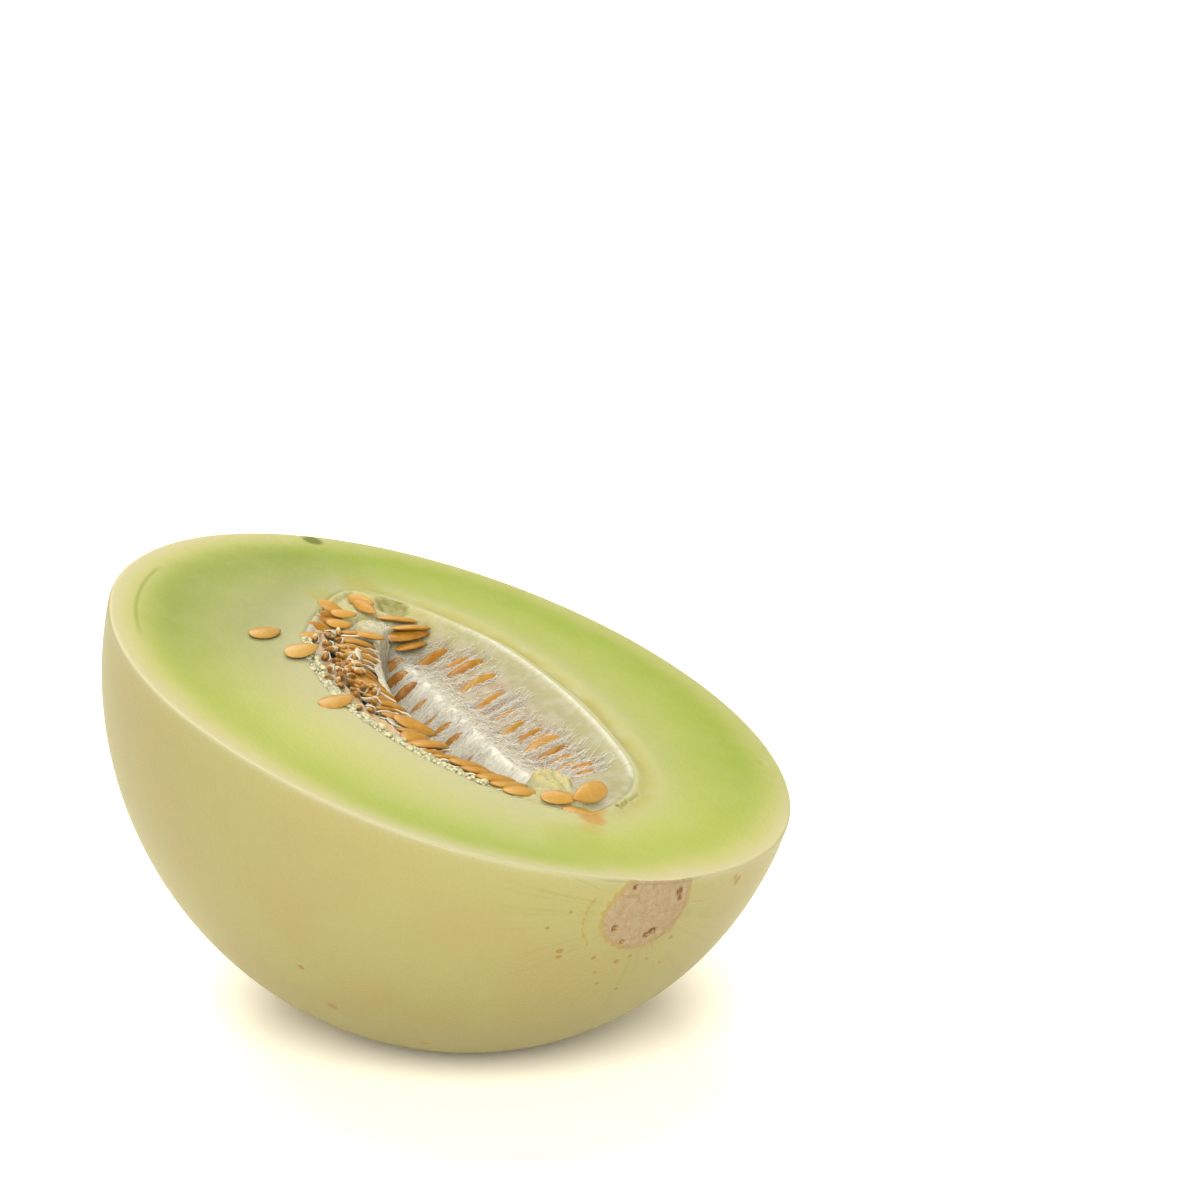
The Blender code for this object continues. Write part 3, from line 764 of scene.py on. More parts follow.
def flesh_material():
    mat, tree, shader = new_material("flesh")
    cut = place_vector(tree, CUT)
    apart = add_node(tree, "ShaderNodeSeparateXYZ", {"Vector": cut})
    x, y = apart.outputs["X"], apart.outputs["Y"]
    flat = add_node(tree, "ShaderNodeCombineXYZ", {"X": x, "Y": y}).outputs[0]
    ray = add_node(tree, "ShaderNodeVectorMath", operation="NORMALIZE")
    feed(tree, ray.inputs[0], flat)
    streaks = noise_value(tree, ray.outputs[0], 16.0, 4.0)
    clouds = noise_value(tree, cut, 0.07, 3.0)
    rim = maths(tree, "ADD", attribute(tree, "rim_mm"),
                maths(tree, "MULTIPLY", maths(tree, "SUBTRACT", streaks, 0.5), 2.5))
    rim = maths(tree, "ADD", rim,
                maths(tree, "MULTIPLY", maths(tree, "SUBTRACT", clouds, 0.5), 3.5))
    rim = maths(tree, "MULTIPLY", rim, step(tree, attribute(tree, "rim_mm"), -2.0, 4.0))
    crown_share = maths(tree, "MULTIPLY", step(tree, x, 30.0, 75.0), step(tree, y, 12.0, -25.0))
    crown = maths(tree, "ADD", 1.0, maths(tree, "MULTIPLY", crown_share, 0.6))
    rim = maths(tree, "MULTIPLY", rim, crown)
    base = ramp(tree, rim, [(0, paint(212, 208, 166)), (3, paint(208, 207, 140)),
                            (5.5, paint(200, 203, 124)), (8.5, paint(184, 198, 100)),
                            (12, paint(179, 195, 92)), (17, paint(188, 201, 104)),
                            (24, paint(198, 206, 120)), (34, paint(206, 207, 142)),
                            (48, paint(210, 207, 160))])
    far_side = maths(tree, "MULTIPLY", step(tree, y, -35.0, 30.0),
                     maths(tree, "SUBTRACT", 1.0, step(tree, x, 30.0, 75.0)))
    tint = mix(tree, far_side, (1.12, 1.07, 1.10, 1.0), (0.87, 0.92, 0.68, 1.0))
    base = mix(tree, 1.0, base, tint, "MULTIPLY")
    stem_side = maths(tree, "MULTIPLY", step(tree, x, 28.0, -40.0), step(tree, y, 28.0, -12.0))
    stem_side = maths(tree, "MULTIPLY", stem_side, step(tree, attribute(tree, "rim_mm"), 3.0, 16.0))
    stem_tint = mix(tree, stem_side, (1.0, 1.0, 1.0, 1.0), (0.66, 0.71, 0.67, 1.0))
    base = mix(tree, 1.0, base, stem_tint, "MULTIPLY")
    crown_tint = mix(tree, crown_share, (1.0, 1.0, 1.0, 1.0), (0.90, 0.94, 0.96, 1.0))
    base = mix(tree, 1.0, base, crown_tint, "MULTIPLY")
    mouth = attribute(tree, "mouth_mm")
    cream = maths(tree, "SUBTRACT", 1.0, step(tree, mouth, 1.0, 13.0))
    far = step(tree, y, 0.0, 22.0)
    share = maths(tree, "ADD", maths(tree, "MULTIPLY", far, 0.35), 0.45)
    base = mix(tree, maths(tree, "MULTIPLY", cream, share), base, paint(212, 208, 160))
    furrow = maths(tree, "SUBTRACT", step(tree, mouth, 0.6, 2.6), step(tree, mouth, 4.0, 8.0))
    furrow = maths(tree, "MULTIPLY", maths(tree, "MULTIPLY", furrow, far),
                   step(tree, noise_value(tree, cut, 0.16), 0.25, 0.6))
    base = mix(tree, maths(tree, "MULTIPLY", furrow, 0.75), base, paint(196, 188, 96))
    base = place_group(tree, MOTTLE, {"Vector": cut, "Color": base,
                                      "Blotch Color": paint(208, 210, 148),
                                      "Blotches per mm": 0.11, "Amount": 0.10,
                                      "Grain": 0.05})
    off_line = maths(tree, "ABSOLUTE", maths(tree, "SUBTRACT", attribute(tree, "rim_mm"), 6.2))
    vessel = maths(tree, "MULTIPLY", step(tree, off_line, 0.7, 0.15), step(tree, y, -44.0, -50.0))
    vessel = maths(tree, "MULTIPLY", vessel, step(tree, x, -16.0, -34.0))
    base = mix(tree, maths(tree, "MULTIPLY", vessel, 0.7), base, paint(160, 176, 84))
    for place, size, share, colour in FLESH_MARKS:
        mark = place_group(tree, SPOT, {"Vector": cut, "Place": place, "Radius": size})
        base = mix(tree, maths(tree, "MULTIPLY", mark, share), base, colour)
    feed(tree, shader.inputs["Base Color"], base)
    rough = maths(tree, "MULTIPLY_ADD", noise_value(tree, cut, 0.5), 0.18)
    rough.node.inputs[2].default_value = 0.52
    feed(tree, shader.inputs["Roughness"], rough)
    feed(tree, shader.inputs["Normal"],
         place_group(tree, RELIEF, {"Vector": cut, "Bumps per mm": 0.9,
                                    "Depth": 0.00008}))
    shader.inputs["Subsurface Weight"].default_value = 0.45
    shader.inputs["Subsurface Radius"].default_value = (0.005, 0.005, 0.002)
    shader.inputs["Subsurface Scale"].default_value = 1.0
    shader.inputs["Specular IOR Level"].default_value = 0.1
    return mat


rind_and_flesh(rind_material(), flesh_material())

# %% [markdown]
# ## The form of the pulp
# Pale spongy pulp lines the cavity. From the far rim it slopes down past the seed slots to
# a bright crest, falls off into a trench, and rises to a shelf along the near rim, where
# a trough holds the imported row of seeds. The construction model gives these heights at a
# few places across the cavity, and the same numbers shape the fine surface here.

# %% Heights across the cavity
HOLLOW_STARTS = (-48.0, -29.0)
HOLLOW_ENDS = (18.0, 56.0)
CREST_Y = 6.5
SLOT_TOP = (0.30, 4.4)
SLOT_FOOT = (0.64, 9.0)
CREST_DEPTH = 9.3
TRENCH_WALL = (0.075, 13.5)
TRENCH_FOOT = (0.17, 17.0)
TRENCH_FLOOR = (0.42, 16.5)
ROW_ROUTE = [(-39, -6), (-31, -13), (-22, -19), (-12, -23), (0, -25.2), (12, -25),
             (22, -22), (32, -18), (41, -13.5), (47.5, -8.5)]
ROW = smooth_run(ROW_ROUTE, 12, False)
ROW_POINTS = np.array([tuple(p) for p in ROW])
TROUGH_DEPTH = 6.2
TROUGH_HALF_WIDTH = 9.2
TROUGH_RAMP = 2.2
SHELF_DEPTH = 1.6
SHELF_SHARE = 0.38
SHELF_DROP = 3.0


def hollow_share(x):
    return smoothstep(*HOLLOW_STARTS, x) * (1 - smoothstep(*HOLLOW_ENDS, x))


def pulp_profile(x):
    """Points (y, z) across the pulp's top at one x, from near rim to far rim."""
    far = mouth_edge(x, True)
    near = mouth_edge(x, False)
    up = far - CREST_Y
    down = CREST_Y - near
    share = hollow_share(x)
    return [(near, -SHELF_DEPTH),
            (near + SHELF_SHARE * down, -SHELF_DEPTH - SHELF_DROP * share),
            (CREST_Y - TRENCH_FLOOR[0] * down, -TRENCH_FLOOR[1] * share),
            (CREST_Y - TRENCH_FOOT[0] * down, -TRENCH_FOOT[1] * share),
            (CREST_Y - TRENCH_WALL[0] * down, -TRENCH_WALL[1] * share),
            (CREST_Y, -CREST_DEPTH * share),
            (far - SLOT_FOOT[0] * up, -SLOT_FOOT[1] * share),
            (far - SLOT_TOP[0] * up, -SLOT_TOP[1] * share),
            (far, 0.0)]


def pulp_height(x, y, profile):
    z = float(np.interp(y, *zip(*sorted(profile))))
    off_row = float(np.hypot(ROW_POINTS[:, 0] - x, ROW_POINTS[:, 1] - y).min())
    rise = smoothstep(TROUGH_HALF_WIDTH, TROUGH_HALF_WIDTH + TROUGH_RAMP, off_row)
    return min(z, -TROUGH_DEPTH * (1 - rise) + z * rise)


print("trench floor at", round(min(z for y, z in pulp_profile(-10.0)), 1), "mm")

# %% [markdown]
# ## One seed
# A melon seed is a flat drop with a rounded rim and one pointed end. A small sphere is
# tapered and flattened into it. Each vertex keeps where it sits along and across the
# seed, and each seed gets a tone of its own, so that the finish can follow both.

# %% The seed that all others copy
SEED_LENGTH = 11.0
SEED_WIDTH = 4.8
SEED_THICKNESS = 1.9
SEED_TAPER = 0.24
SEED_TIP = 0.30


def make_seed_template():
    bm = bmesh.new()
    bmesh.ops.create_uvsphere(bm, u_segments=18, v_segments=16, radius=1.0)
    bmesh.ops.rotate(bm, verts=bm.verts, matrix=Matrix.Rotation(math.pi / 2, 3, "Y"))
    bm.verts.layers.float.new("seed_tone")
    along = bm.verts.layers.float.new("seed_along")
    side = bm.verts.layers.float.new("seed_side")
    for v in bm.verts:
        v[along] = v.co.x
        v[side] = v.co.y
        v.co.z *= 1 - 0.25 * v.co.y ** 2
        v.co.y *= (1 - SEED_TAPER * v.co.x) * (1 - SEED_TIP * smoothstep(0.4, 1.0, v.co.x))
    bmesh.ops.scale(bm, verts=bm.verts,
                    vec=(SEED_LENGTH / 2, SEED_WIDTH / 2, SEED_THICKNESS / 2))
    mesh = bpy.data.meshes.new("seed_template")
    bm.to_mesh(mesh)
    bm.free()
    return mesh


SEED = make_seed_template()


def axes_matrix(place, along, face):
    """Matrix that lays a seed's length along one direction, its flat side facing another."""
    along = along.normalized()
    face = (face - along * face.dot(along)).normalized()
    side = face.cross(along)
    turn = Matrix((along, side, face)).transposed()
    return Matrix.Translation(place) @ turn.to_4x4()


def lying_seed(x, y, z, heading, dip, roll):
    """Matrix of a seed by its middle, heading, dip of its front end, and roll, in degrees."""
    turn = Matrix.Rotation(math.radians(heading), 3, "Z")
    along = turn @ Matrix.Rotation(math.radians(dip), 3, "Y") @ Vector((1, 0, 0))
    face = Matrix.Rotation(math.radians(roll), 3, along) @ Vector((0, 0, 1))
    return axes_matrix(Vector((x, y, z)), along, face)


def sow(bm, template, matrix, tone, bend=0.0):
    """Add one copy of a template to a mesh, bent a little over its flat side."""
    before = len(bm.verts)
    bm.from_mesh(template)
    bm.verts.ensure_lookup_table()
    layer = bm.verts.layers.float["seed_tone"]
    added = bm.verts[before:]
    for v in added:
        v[layer] = tone
        v.co.z += bend * (v.co.x / SEED_LENGTH) ** 2
    bmesh.ops.transform(bm, matrix=matrix, verts=added)
    return added


# %% [markdown]
# ## Where the seeds in the pulp stand
# Seeds stand on edge in slots down the far slope, and a second rank hangs on the wall of
# the trench. Each is given by where its middle is, which way its long side runs, how far
# its upper edge stands out of the pulp, how it is turned, and its size.

# %% Places of the seeds in the pulp
BARE_SEEDS = [(-39.9, 7.7, -1.4, 77, -2, -16, 0.96, 0.88), (-36.8, 10.1, -2.1, 90, -3, -20, 1.0, 0.8),
              (-35.4, 8.9, -3.5, 96, -6, 8, 1.18, 0.35), (-33.8, 9.6, -5.4, 100, -8, -12, 0.86, 0.55)]
SLOT_SEEDS = [(-31.6, 14.1, 95, 1.3, 0.1, 1.0), (-27.4, 18.3, 84, 0.3, 0.0, 0.70),
              (-24.2, 19.0, 84, 1.0, 0.1, 1.0), (-17.6, 18.9, 89, 1.0, 0.1, 1.04),
              (-9.4, 17.6, 101, 0.5, 0.25, 1.10), (-6.2, 18.4, 97, -0.9, 0.0, 0.9),
              (-3.2, 18.3, 90, -0.2, 0.1, 0.9), (3.2, 16.9, 100, 0.6, 0.1, 0.86),
              (8.0, 18.3, 97, 0.4, 0.2, 0.92), (9.8, 19.3, 90, -0.1, -0.1, 0.86),
              (12.4, 19.0, 82, 0.7, 0.2, 0.98), (16.9, 18.7, 88, 0.4, 0.1, 0.96),
              (20.4, 18.9, 80, 0.0, 0.1, 0.76), (24.2, 18.0, 84, -0.1, 0.2, 0.72),
              (27.4, 19.6, 70, 0.1, 0.4, 0.68), (30.6, 18.2, 64, 0.1, 0.3, 0.62)]
TRENCH_SEEDS = [(-33.2, 4.9, 66, 1.3, 0.1, 0.72), (-29.0, 4.6, 64, 1.6, 0.1, 0.76),
                (-23.4, 4.3, 74, 1.5, 0.15, 0.76), (-16.6, 4.2, 79, 0.5, 0.1, 0.64),
                (-10.2, 4.0, 70, 0.0, 0.1, 0.6), (-5.2, 4.1, 62, 0.5, 0.1, 0.66),
                (0.2, 4.0, 66, 0.6, 0.1, 0.66), (8.2, 3.6, 70, -0.2, 0.0, 0.6)]


def plain_height(x, y):
    """Height of the pulp before its fine relief."""
    return pulp_height(x, y, pulp_profile(x))


def edge_seed(x, y, heading, out, turn, size):
    """(middle on the surface, direction down the slope, matrix) of a seed on its edge."""
    run = Matrix.Rotation(math.radians(heading + 180), 2) @ Vector((1, 0))
    drop = plain_height(x + run.x, y + run.y) - plain_height(x - run.x, y - run.y)
    down = Vector((2 * run.x, 2 * run.y, drop)).normalized()
    outward = Vector((0, 0, 1)) - down * down.z
    outward.normalize()
    face = Matrix.Rotation(turn, 3, down) @ down.cross(outward)
    middle = Vector((x, y, plain_height(x, y)))
    half = size * abs(math.cos(turn)) * SEED_WIDTH / 2
    matrix = axes_matrix(middle - outward * (half - out), down, face)
    return middle, down, matrix @ Matrix.Scale(size, 4)


SLOT_PLACES = [edge_seed(*row) for row in SLOT_SEEDS]
TRENCH_PLACES = [edge_seed(*row) for row in TRENCH_SEEDS]
print(len(SLOT_PLACES), "seeds in slots,", len(TRENCH_PLACES), "in the trench")

# %% [markdown]
# ## The pulp's surface
# A grid is ruled across the mouth, from its near edge to its far edge, so its border is
# the mouth's own outline. It takes the heights above, is smoothed a little, and gets its
# fine relief: a slot round each seed, the bright crest, and fibres that run down the
# slope. Masks of these are kept on the mesh for the finish, which paints shade into the
# slots and light onto the crest.

# %% Model the pulp
PULP_CELLS = (230, 120)
PULP_INSET = -0.9
BORDER_WIDTH = 1.6
SLOT_HALF_WIDTH = 1.35
SLOT_CUT = 1.0
CREST_RISE = 0.8
NEST_WIDTH = 8.5
NEST_LEVEL = -0.9
NEAR_LIP = -0.2
NEAR_LIP_FALL = 1.3
STEM_LEVEL = -1.1
STEM_PAD = (-35.0, -1.5, 5.5, 6.5)
END_LEVEL = -0.25
BLOB = (43.5, 0.6, 6.5)
POCKETS = [(-46.0, 9.5, 5.5, 1.5), (-41.5, -13.0, 4.5, 1.2)]


def slot_dip(x, y):
    """How much a point lies in a seed's slot, from 0 to 1."""
    deepest = 0.0
    for middle, down, matrix in SLOT_PLACES + TRENCH_PLACES:
        if abs(x - middle.x) > 3.5:
            continue
        off = Vector((x - middle.x, y - middle.y))
        run = Vector((down.x, down.y)).normalized()
        along = off.dot(run)
        across = off.x * run.y - off.y * run.x
        reach = SEED_LENGTH * 0.55 * math.hypot(down.x, down.y)
        share = math.exp(-(across / SLOT_HALF_WIDTH) ** 2)
        share *= 1 - smoothstep(0.75 * reach, 1.15 * reach, abs(along))
        deepest = max(deepest, share)
    return deepest


def crest_line(x):
    return CREST_Y + 0.9 * noise.noise(Vector((x * 0.09, 0.0, 1.0)))


def bowl_ring(bm, loop, fall):
    """Draw the border of the pulp down and in, along the cavity's wall."""
    def rule(co):
        angle = polar_angle(co, MOUTH_CENTRE)
        reach = (mouth_radius(angle) + 0.8) * math.cos(fall)
        return Vector((MOUTH_CENTRE.x + reach * math.cos(angle),
                       MOUTH_CENTRE.y + reach * math.sin(angle),
                       -SHELF_DEPTH - 0.7 - (CAVITY_DEPTH - 1.2) * math.sin(fall)))
    return place_ring(bm, loop, rule)


def seed_pulp(mat):
    bm = bmesh.new()
    bmesh.ops.create_grid(bm, x_segments=PULP_CELLS[0], y_segments=PULP_CELLS[1], size=0.5)
    masks = {name: bm.verts.layers.float.new(name)
             for name in ("slot", "band", "crest", "inside_mm", "blob", "pocket", "nest", "end")}
    left = FAR_EDGE[0][0] - 0.5
    right = FAR_EDGE[0][-1] + 0.5
    columns = {}
    for v in bm.verts:
        columns.setdefault(round(v.co.x, 5), []).append(v)
    for share, column in columns.items():
        x = left + (right - left) * (share + 0.5)
        near = mouth_edge(x, False) + PULP_INSET
        far = mouth_edge(x, True) - PULP_INSET
        profile = pulp_profile(x)
        for v in column:
            y = near + (far - near) * (v.co.y + 0.5)
            v.co = (x, y, pulp_height(x, y, profile))
    inner = [v for v in bm.verts if not v.is_boundary]
    for k in range(6):
        bmesh.ops.smooth_vert(bm, verts=inner, factor=0.5, use_axis_z=True)
    for v in bm.verts:
        x, y, z = v.co
        reach = math.hypot(x - MOUTH_CENTRE.x, y - MOUTH_CENTRE.y)
        edge = mouth_radius(polar_angle(v.co, MOUTH_CENTRE)) - reach
        edge = min(mouth_edge(x, True) - y, y - mouth_edge(x, False), edge)
        share = hollow_share(x)
        dip = slot_dip(x, y)
        crest = math.exp(-((y - crest_line(x) - 0.3) / 1.8) ** 2) * smoothstep(-36, -28, x)
        crest *= 1 - smoothstep(33, 44, x)
        blob = 1 - smoothstep(0.55, 1.0, math.hypot(x - BLOB[0], y - BLOB[1]) / BLOB[2])
        pocket = max((1 - smoothstep(0.35, 1.0, math.hypot(x - px, y - py) / size)) * depth
                     for px, py, size, depth in POCKETS)
        inward = smoothstep(0.0, 2.5, edge)
        end = smoothstep(39.0, 48.0, x) * (1 - smoothstep(1.0, 13.0, y))
        far = mouth_edge(x, True)
        up = (far - y) / (far - CREST_Y)
        band = smoothstep(SLOT_TOP[0] - 0.12, SLOT_TOP[0] + 0.10, up)
        band *= 1 - smoothstep(SLOT_FOOT[0] - 0.04, SLOT_FOOT[0] + 0.16, up)
        band *= smoothstep(-44, -34, x) * (1 - smoothstep(28, 38, x))
        from_near = y - mouth_edge(x, False)
        nest = 1 - smoothstep(NEST_WIDTH - 2.5, NEST_WIDTH, from_near)
        nest *= smoothstep(-36, -27, x) * (1 - smoothstep(30, 44, x))
        torn = max(band, 0.25, nest) if y > CREST_Y else max(nest, 0.8)
        fibre = noise.noise(Vector((x * 0.9, y * 0.22, 5.0)))
        wool = noise.noise(Vector((x * 0.8, y * 0.8, 9.0)))
        lumps = noise.noise(Vector((x * 0.28, y * 0.28, 2.0)))
        # The slot and crest masks carry painted shade into the slots and painted light onto the crest.
        v[masks["band"]] = band
        v[masks["nest"]] = nest * smoothstep(2.4, 4.4, from_near)
        v[masks["slot"]] = dip
        v[masks["crest"]] = crest
        v[masks["inside_mm"]] = edge + (2.0 if y < 9 else 2.0 * smoothstep(38, 46, x))
        v[masks["blob"]] = blob
        v[masks["end"]] = end
        v[masks["pocket"]] = min(pocket / 2, 1.0)
        relief = CREST_RISE * crest * share - SLOT_CUT * dip - pocket
        fine = noise.noise(Vector((x * 1.5, y * 1.1, 17.0)))
        torn *= 1 - 0.6 * crest
        relief += (0.16 * fibre + 0.20 * wool + 0.16 * fine) * torn * inward
        relief += (0.20 if y < CREST_Y else 0.07) * lumps * inward
        ridge = smoothstep(8, 16, y) * (1 - smoothstep(48, 55, x))
        relief += 0.3 * ridge * math.exp(-(edge / 1.1) ** 2)
        relief += 0.8 * blob * (1 + 0.4 * wool + 0.6 * lumps)
        lip = NEAR_LIP - NEAR_LIP_FALL * smoothstep(0.0, 4.0, from_near)
        if from_near < 6 and y < 4:
            z = max(z, lip - 3.0 * smoothstep(3.0, 6.0, from_near))
        stem = 1 - smoothstep(-43.0, -37.0, x)
        pad = math.hypot((x - STEM_PAD[0]) / STEM_PAD[2], (y - STEM_PAD[1]) / STEM_PAD[3])
        stem = max(stem, 1 - smoothstep(0.5, 1.15, pad))
        z = z + (max(z, STEM_LEVEL) - z) * stem * inward
        z = z + (max(z, END_LEVEL) - z) * max(end, blob) * inward
        level = z + (max(z, NEST_LEVEL) - z) * nest * inward
        relief += nest * inward * (0.45 * wool + 0.4 * noise.noise(Vector((x, y, 1.0)) * 0.5))
        border = 1 - smoothstep(0.0, BORDER_WIDTH, edge)
        rise = cut_height(x, y) + 0.10 - 0.35 * smoothstep(0.0, -0.8, edge)
        v.co.z = level + relief + (rise - level - relief) * border
    loop = [e for e in bm.edges if e.is_boundary]
    rim = list(loop)
    for k in range(8):
        loop = bowl_ring(bm, loop, 0.5 * math.pi * k / 8.5)
    bmesh.ops.edgeloop_fill(bm, edges=loop)
    bmesh.ops.bevel(bm, geom=rim, offset=0.3, segments=2, profile=0.5, affect="EDGES",
                    material=-1)
    bmesh.ops.recalc_face_normals(bm, faces=bm.faces)
    surface = BVHTree.FromBMesh(bm)
    return finish_piece("seed_pulp_fine", bm, [mat], ["seed_pulp"], 80.0), surface


# %% [markdown]
# ## The finish of the pulp
# Moist pulp is near white and cream to greenish by the rim. On the crest it is painted a
# brighter white with a cool cast, partly its own white and partly painted light from
# above, and down in the slots it is painted pinkish grey, which is painted shade. It
# scatters light strongly, so it gets the most subsurface of all. Fibres show as a fine
# relief that is stretched down the slope.

# %% Pulp material
def pulp_material(name, colour, with_masks):
    mat, tree, shader = new_material(name)
    cut = place_vector(tree, CUT)
    base = colour
    fibres = noise_value(tree, cut, 1.6, 4.0, (1.0, 0.18, 0.5))
    if with_masks:
        inside = attribute(tree, "inside_mm")
        base = ramp(tree, inside, [(0, paint(250, 250, 226)), (0.9, paint(238, 238, 206)),
                                   (1.9, paint(190, 186, 134)), (6.0, paint(182, 177, 124)),
                                   (12.0, paint(204, 198, 170))])
        base = mix(tree, step(tree, add_node(tree, "ShaderNodeSeparateXYZ",
                                             {"Vector": cut}).outputs["Y"], 13.0, 9.0),
                   base, paint(214, 207, 184))
        apart = add_node(tree, "ShaderNodeSeparateXYZ", {"Vector": cut})
        stem = maths(tree, "SUBTRACT", 1.0, step(tree, apart.outputs["X"], -48.0, -24.0))
        base = mix(tree, maths(tree, "MULTIPLY", stem, 0.9), base, paint(214, 208, 124))
        strands = noise_value(tree, cut, 0.9, 3.0, (1.0, 0.22, 0.4))
        band = maths(tree, "MULTIPLY", attribute(tree, "band"), step(tree, strands, 0.35, 0.6))
        base = mix(tree, maths(tree, "MULTIPLY", band, 0.95), base, paint(188, 160, 128))
        base = mix(tree, maths(tree, "MULTIPLY", attribute(tree, "nest"), 0.7), base,
                   paint(212, 166, 100, 1.1))
        # Painted shade: the slots are painted pinkish grey, as the shade that falls down in them.
        slot = attribute(tree, "slot")
        base = mix(tree, maths(tree, "MULTIPLY", step(tree, slot, 0.15, 0.9), 0.75), base,
                   paint(190, 164, 140))
        # Painted light: the crest is painted brighter than the pulp's own white, as light from above on
        # the ridge top.
        crest = attribute(tree, "crest")
        base = mix(tree, maths(tree, "MULTIPLY", crest, 0.9), base,
                   paint(252, 250, 234, 1.2))
        base = mix(tree, maths(tree, "MULTIPLY", attribute(tree, "blob"), 0.8), base,
                   paint(220, 206, 116))
        base = mix(tree, attribute(tree, "end"), base, paint(212, 207, 140))
        pocket = maths(tree, "MULTIPLY", attribute(tree, "pocket"), 2.0, clamp=True)
        base = mix(tree, pocket, base, paint(158, 154, 44))
    base = mix(tree, maths(tree, "MULTIPLY", step(tree, fibres, 0.52, 0.40), 0.35), base,
               paint(196, 178, 152))
    base = place_group(tree, MOTTLE, {"Vector": cut, "Color": base,
                                      "Blotch Color": paint(226, 224, 206),
                                      "Blotches per mm": 0.35, "Amount": 0.25,
                                      "Grain": 0.10})
    feed(tree, shader.inputs["Base Color"], base)
    bump = add_node(tree, "ShaderNodeBump", {"Distance": 0.0003, "Height": fibres})
    feed(tree, bump.inputs["Normal"],
         place_group(tree, RELIEF, {"Vector": cut, "Bumps per mm": 1.2,
                                    "Depth": 0.00015}))
    feed(tree, shader.inputs["Normal"], bump.outputs["Normal"])
    shader.inputs["Specular IOR Level"].default_value = 0.15
    shader.inputs["Roughness"].default_value = 0.6
    shader.inputs["Subsurface Weight"].default_value = 0.5
    shader.inputs["Subsurface Radius"].default_value = (0.004, 0.0032, 0.0022)
    shader.inputs["Subsurface Scale"].default_value = 1.0
    return mat


PULP_MAT = pulp_material("seed_pulp", paint(222, 220, 200), True)
MEMBRANE_MAT = pulp_material("membrane", paint(246, 230, 196, 1.35), False)
CRUMB_MAT = pulp_material("crumbs", paint(226, 219, 164, 1.2), False)
PULP, PULP_SURFACE = seed_pulp(PULP_MAT)


def on_pulp(x, y):
    """The point of the pulp's fine surface straight below or above a place."""
    hit = PULP_SURFACE.ray_cast(Vector((x, y, 20.0)), Vector((0, 0, -1)))[0]
    return hit if hit else Vector((x, y, -1.0))

# %% [markdown]
# ## The finish of the seeds
# Wet seeds are tan to orange with a satin gloss, paler on the faces and darker toward the
# rim and the pointed end. Every seed differs a little, which its tone carries. Seeds that
# dried on the cut are paler.

# %% Seed material
def seed_material(name, dark, middle, light, rough, wrapped=False):
    mat, tree, shader = new_material(name)
    cut = place_vector(tree, CUT)
    tone = attribute(tree, "seed_tone")
    base = ramp(tree, tone, [(0, dark), (0.5, middle), (1, light)])
    side = maths(tree, "ABSOLUTE", attribute(tree, "seed_side"))
    rim = step(tree, side, 0.55, 1.0)
    base = mix(tree, maths(tree, "MULTIPLY", rim, 0.25), base, dark)
    tip = step(tree, attribute(tree, "seed_along"), 0.5, 1.0)
    base = mix(tree, maths(tree, "MULTIPLY", tip, 0.35), base, dark)
    base = place_group(tree, MOTTLE, {"Vector": cut, "Color": base, "Blotch Color": light,
                                      "Blotches per mm": 0.45, "Amount": 0.35,
                                      "Grain": 0.18})
    if wrapped:
        torn = maths(tree, "MULTIPLY", noise_value(tree, cut, 0.8, 3.0), 0.9)
        bare = step(tree, maths(tree, "ADD", attribute(tree, "seed_along"), torn), 0.98, 1.1)
        base = mix(tree, bare, paint(244, 224, 184, 1.2), base)
    feed(tree, shader.inputs["Base Color"], base)
    feed(tree, shader.inputs["Normal"],
         place_group(tree, RELIEF, {"Vector": cut, "Bumps per mm": 0.9,
                                    "Depth": 0.00015}))
    shader.inputs["Roughness"].default_value = rough
    shader.inputs["Specular IOR Level"].default_value = 0.25
    shader.inputs["Subsurface Weight"].default_value = 0.15
    shader.inputs["Subsurface Radius"].default_value = (0.001, 0.0008, 0.0004)
    shader.inputs["Subsurface Scale"].default_value = 1.0
    return mat


SEED_MAT = seed_material("packed_seeds", paint(150, 88, 14), paint(206, 142, 42),
                         paint(230, 178, 84), 0.42)
WRAPPED_MAT = seed_material("wrapped_seeds", paint(150, 88, 14), paint(200, 132, 36),
                            paint(230, 178, 84), 0.45, True)
LOOSE_MAT = seed_material("loose_seeds", paint(206, 142, 52), paint(220, 168, 78),
                          paint(232, 190, 108), 0.36)


# %% Seeds in the slots and the trench
def pulp_seeds():
    draw = random.Random(21)
    bm = bmesh.new()
    for middle, down, matrix in SLOT_PLACES:
        sow(bm, SEED, matrix, draw.uniform(0.3, 0.9), draw.uniform(-1.5, 1.5))
    for middle, down, matrix in TRENCH_PLACES:
        sow(bm, SEED, matrix, draw.uniform(0.0, 0.3), draw.uniform(-1.0, 1.0))
    for row in BARE_SEEDS:
        sow(bm, SEED, lying_seed(*row[:6]) @ Matrix.Diagonal((row[6], 0.78, 0.78, 1)),
            row[7], -0.8)
    finish_piece("seeds_in_pulp", bm, [SEED_MAT], ["seed_pulp"])


pulp_seeds()

# %% [markdown]
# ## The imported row
# Along the near rim the seeds lie across the row like fallen dominoes, each resting on
# the next, so that mostly their edges show. At the stem end the row is wide, its outer
# seeds point out of the pulp with only their tips to be seen, and a small heap lies on it.
# Each seed is given by its middle, heading, dip, roll about its length, size and tone.

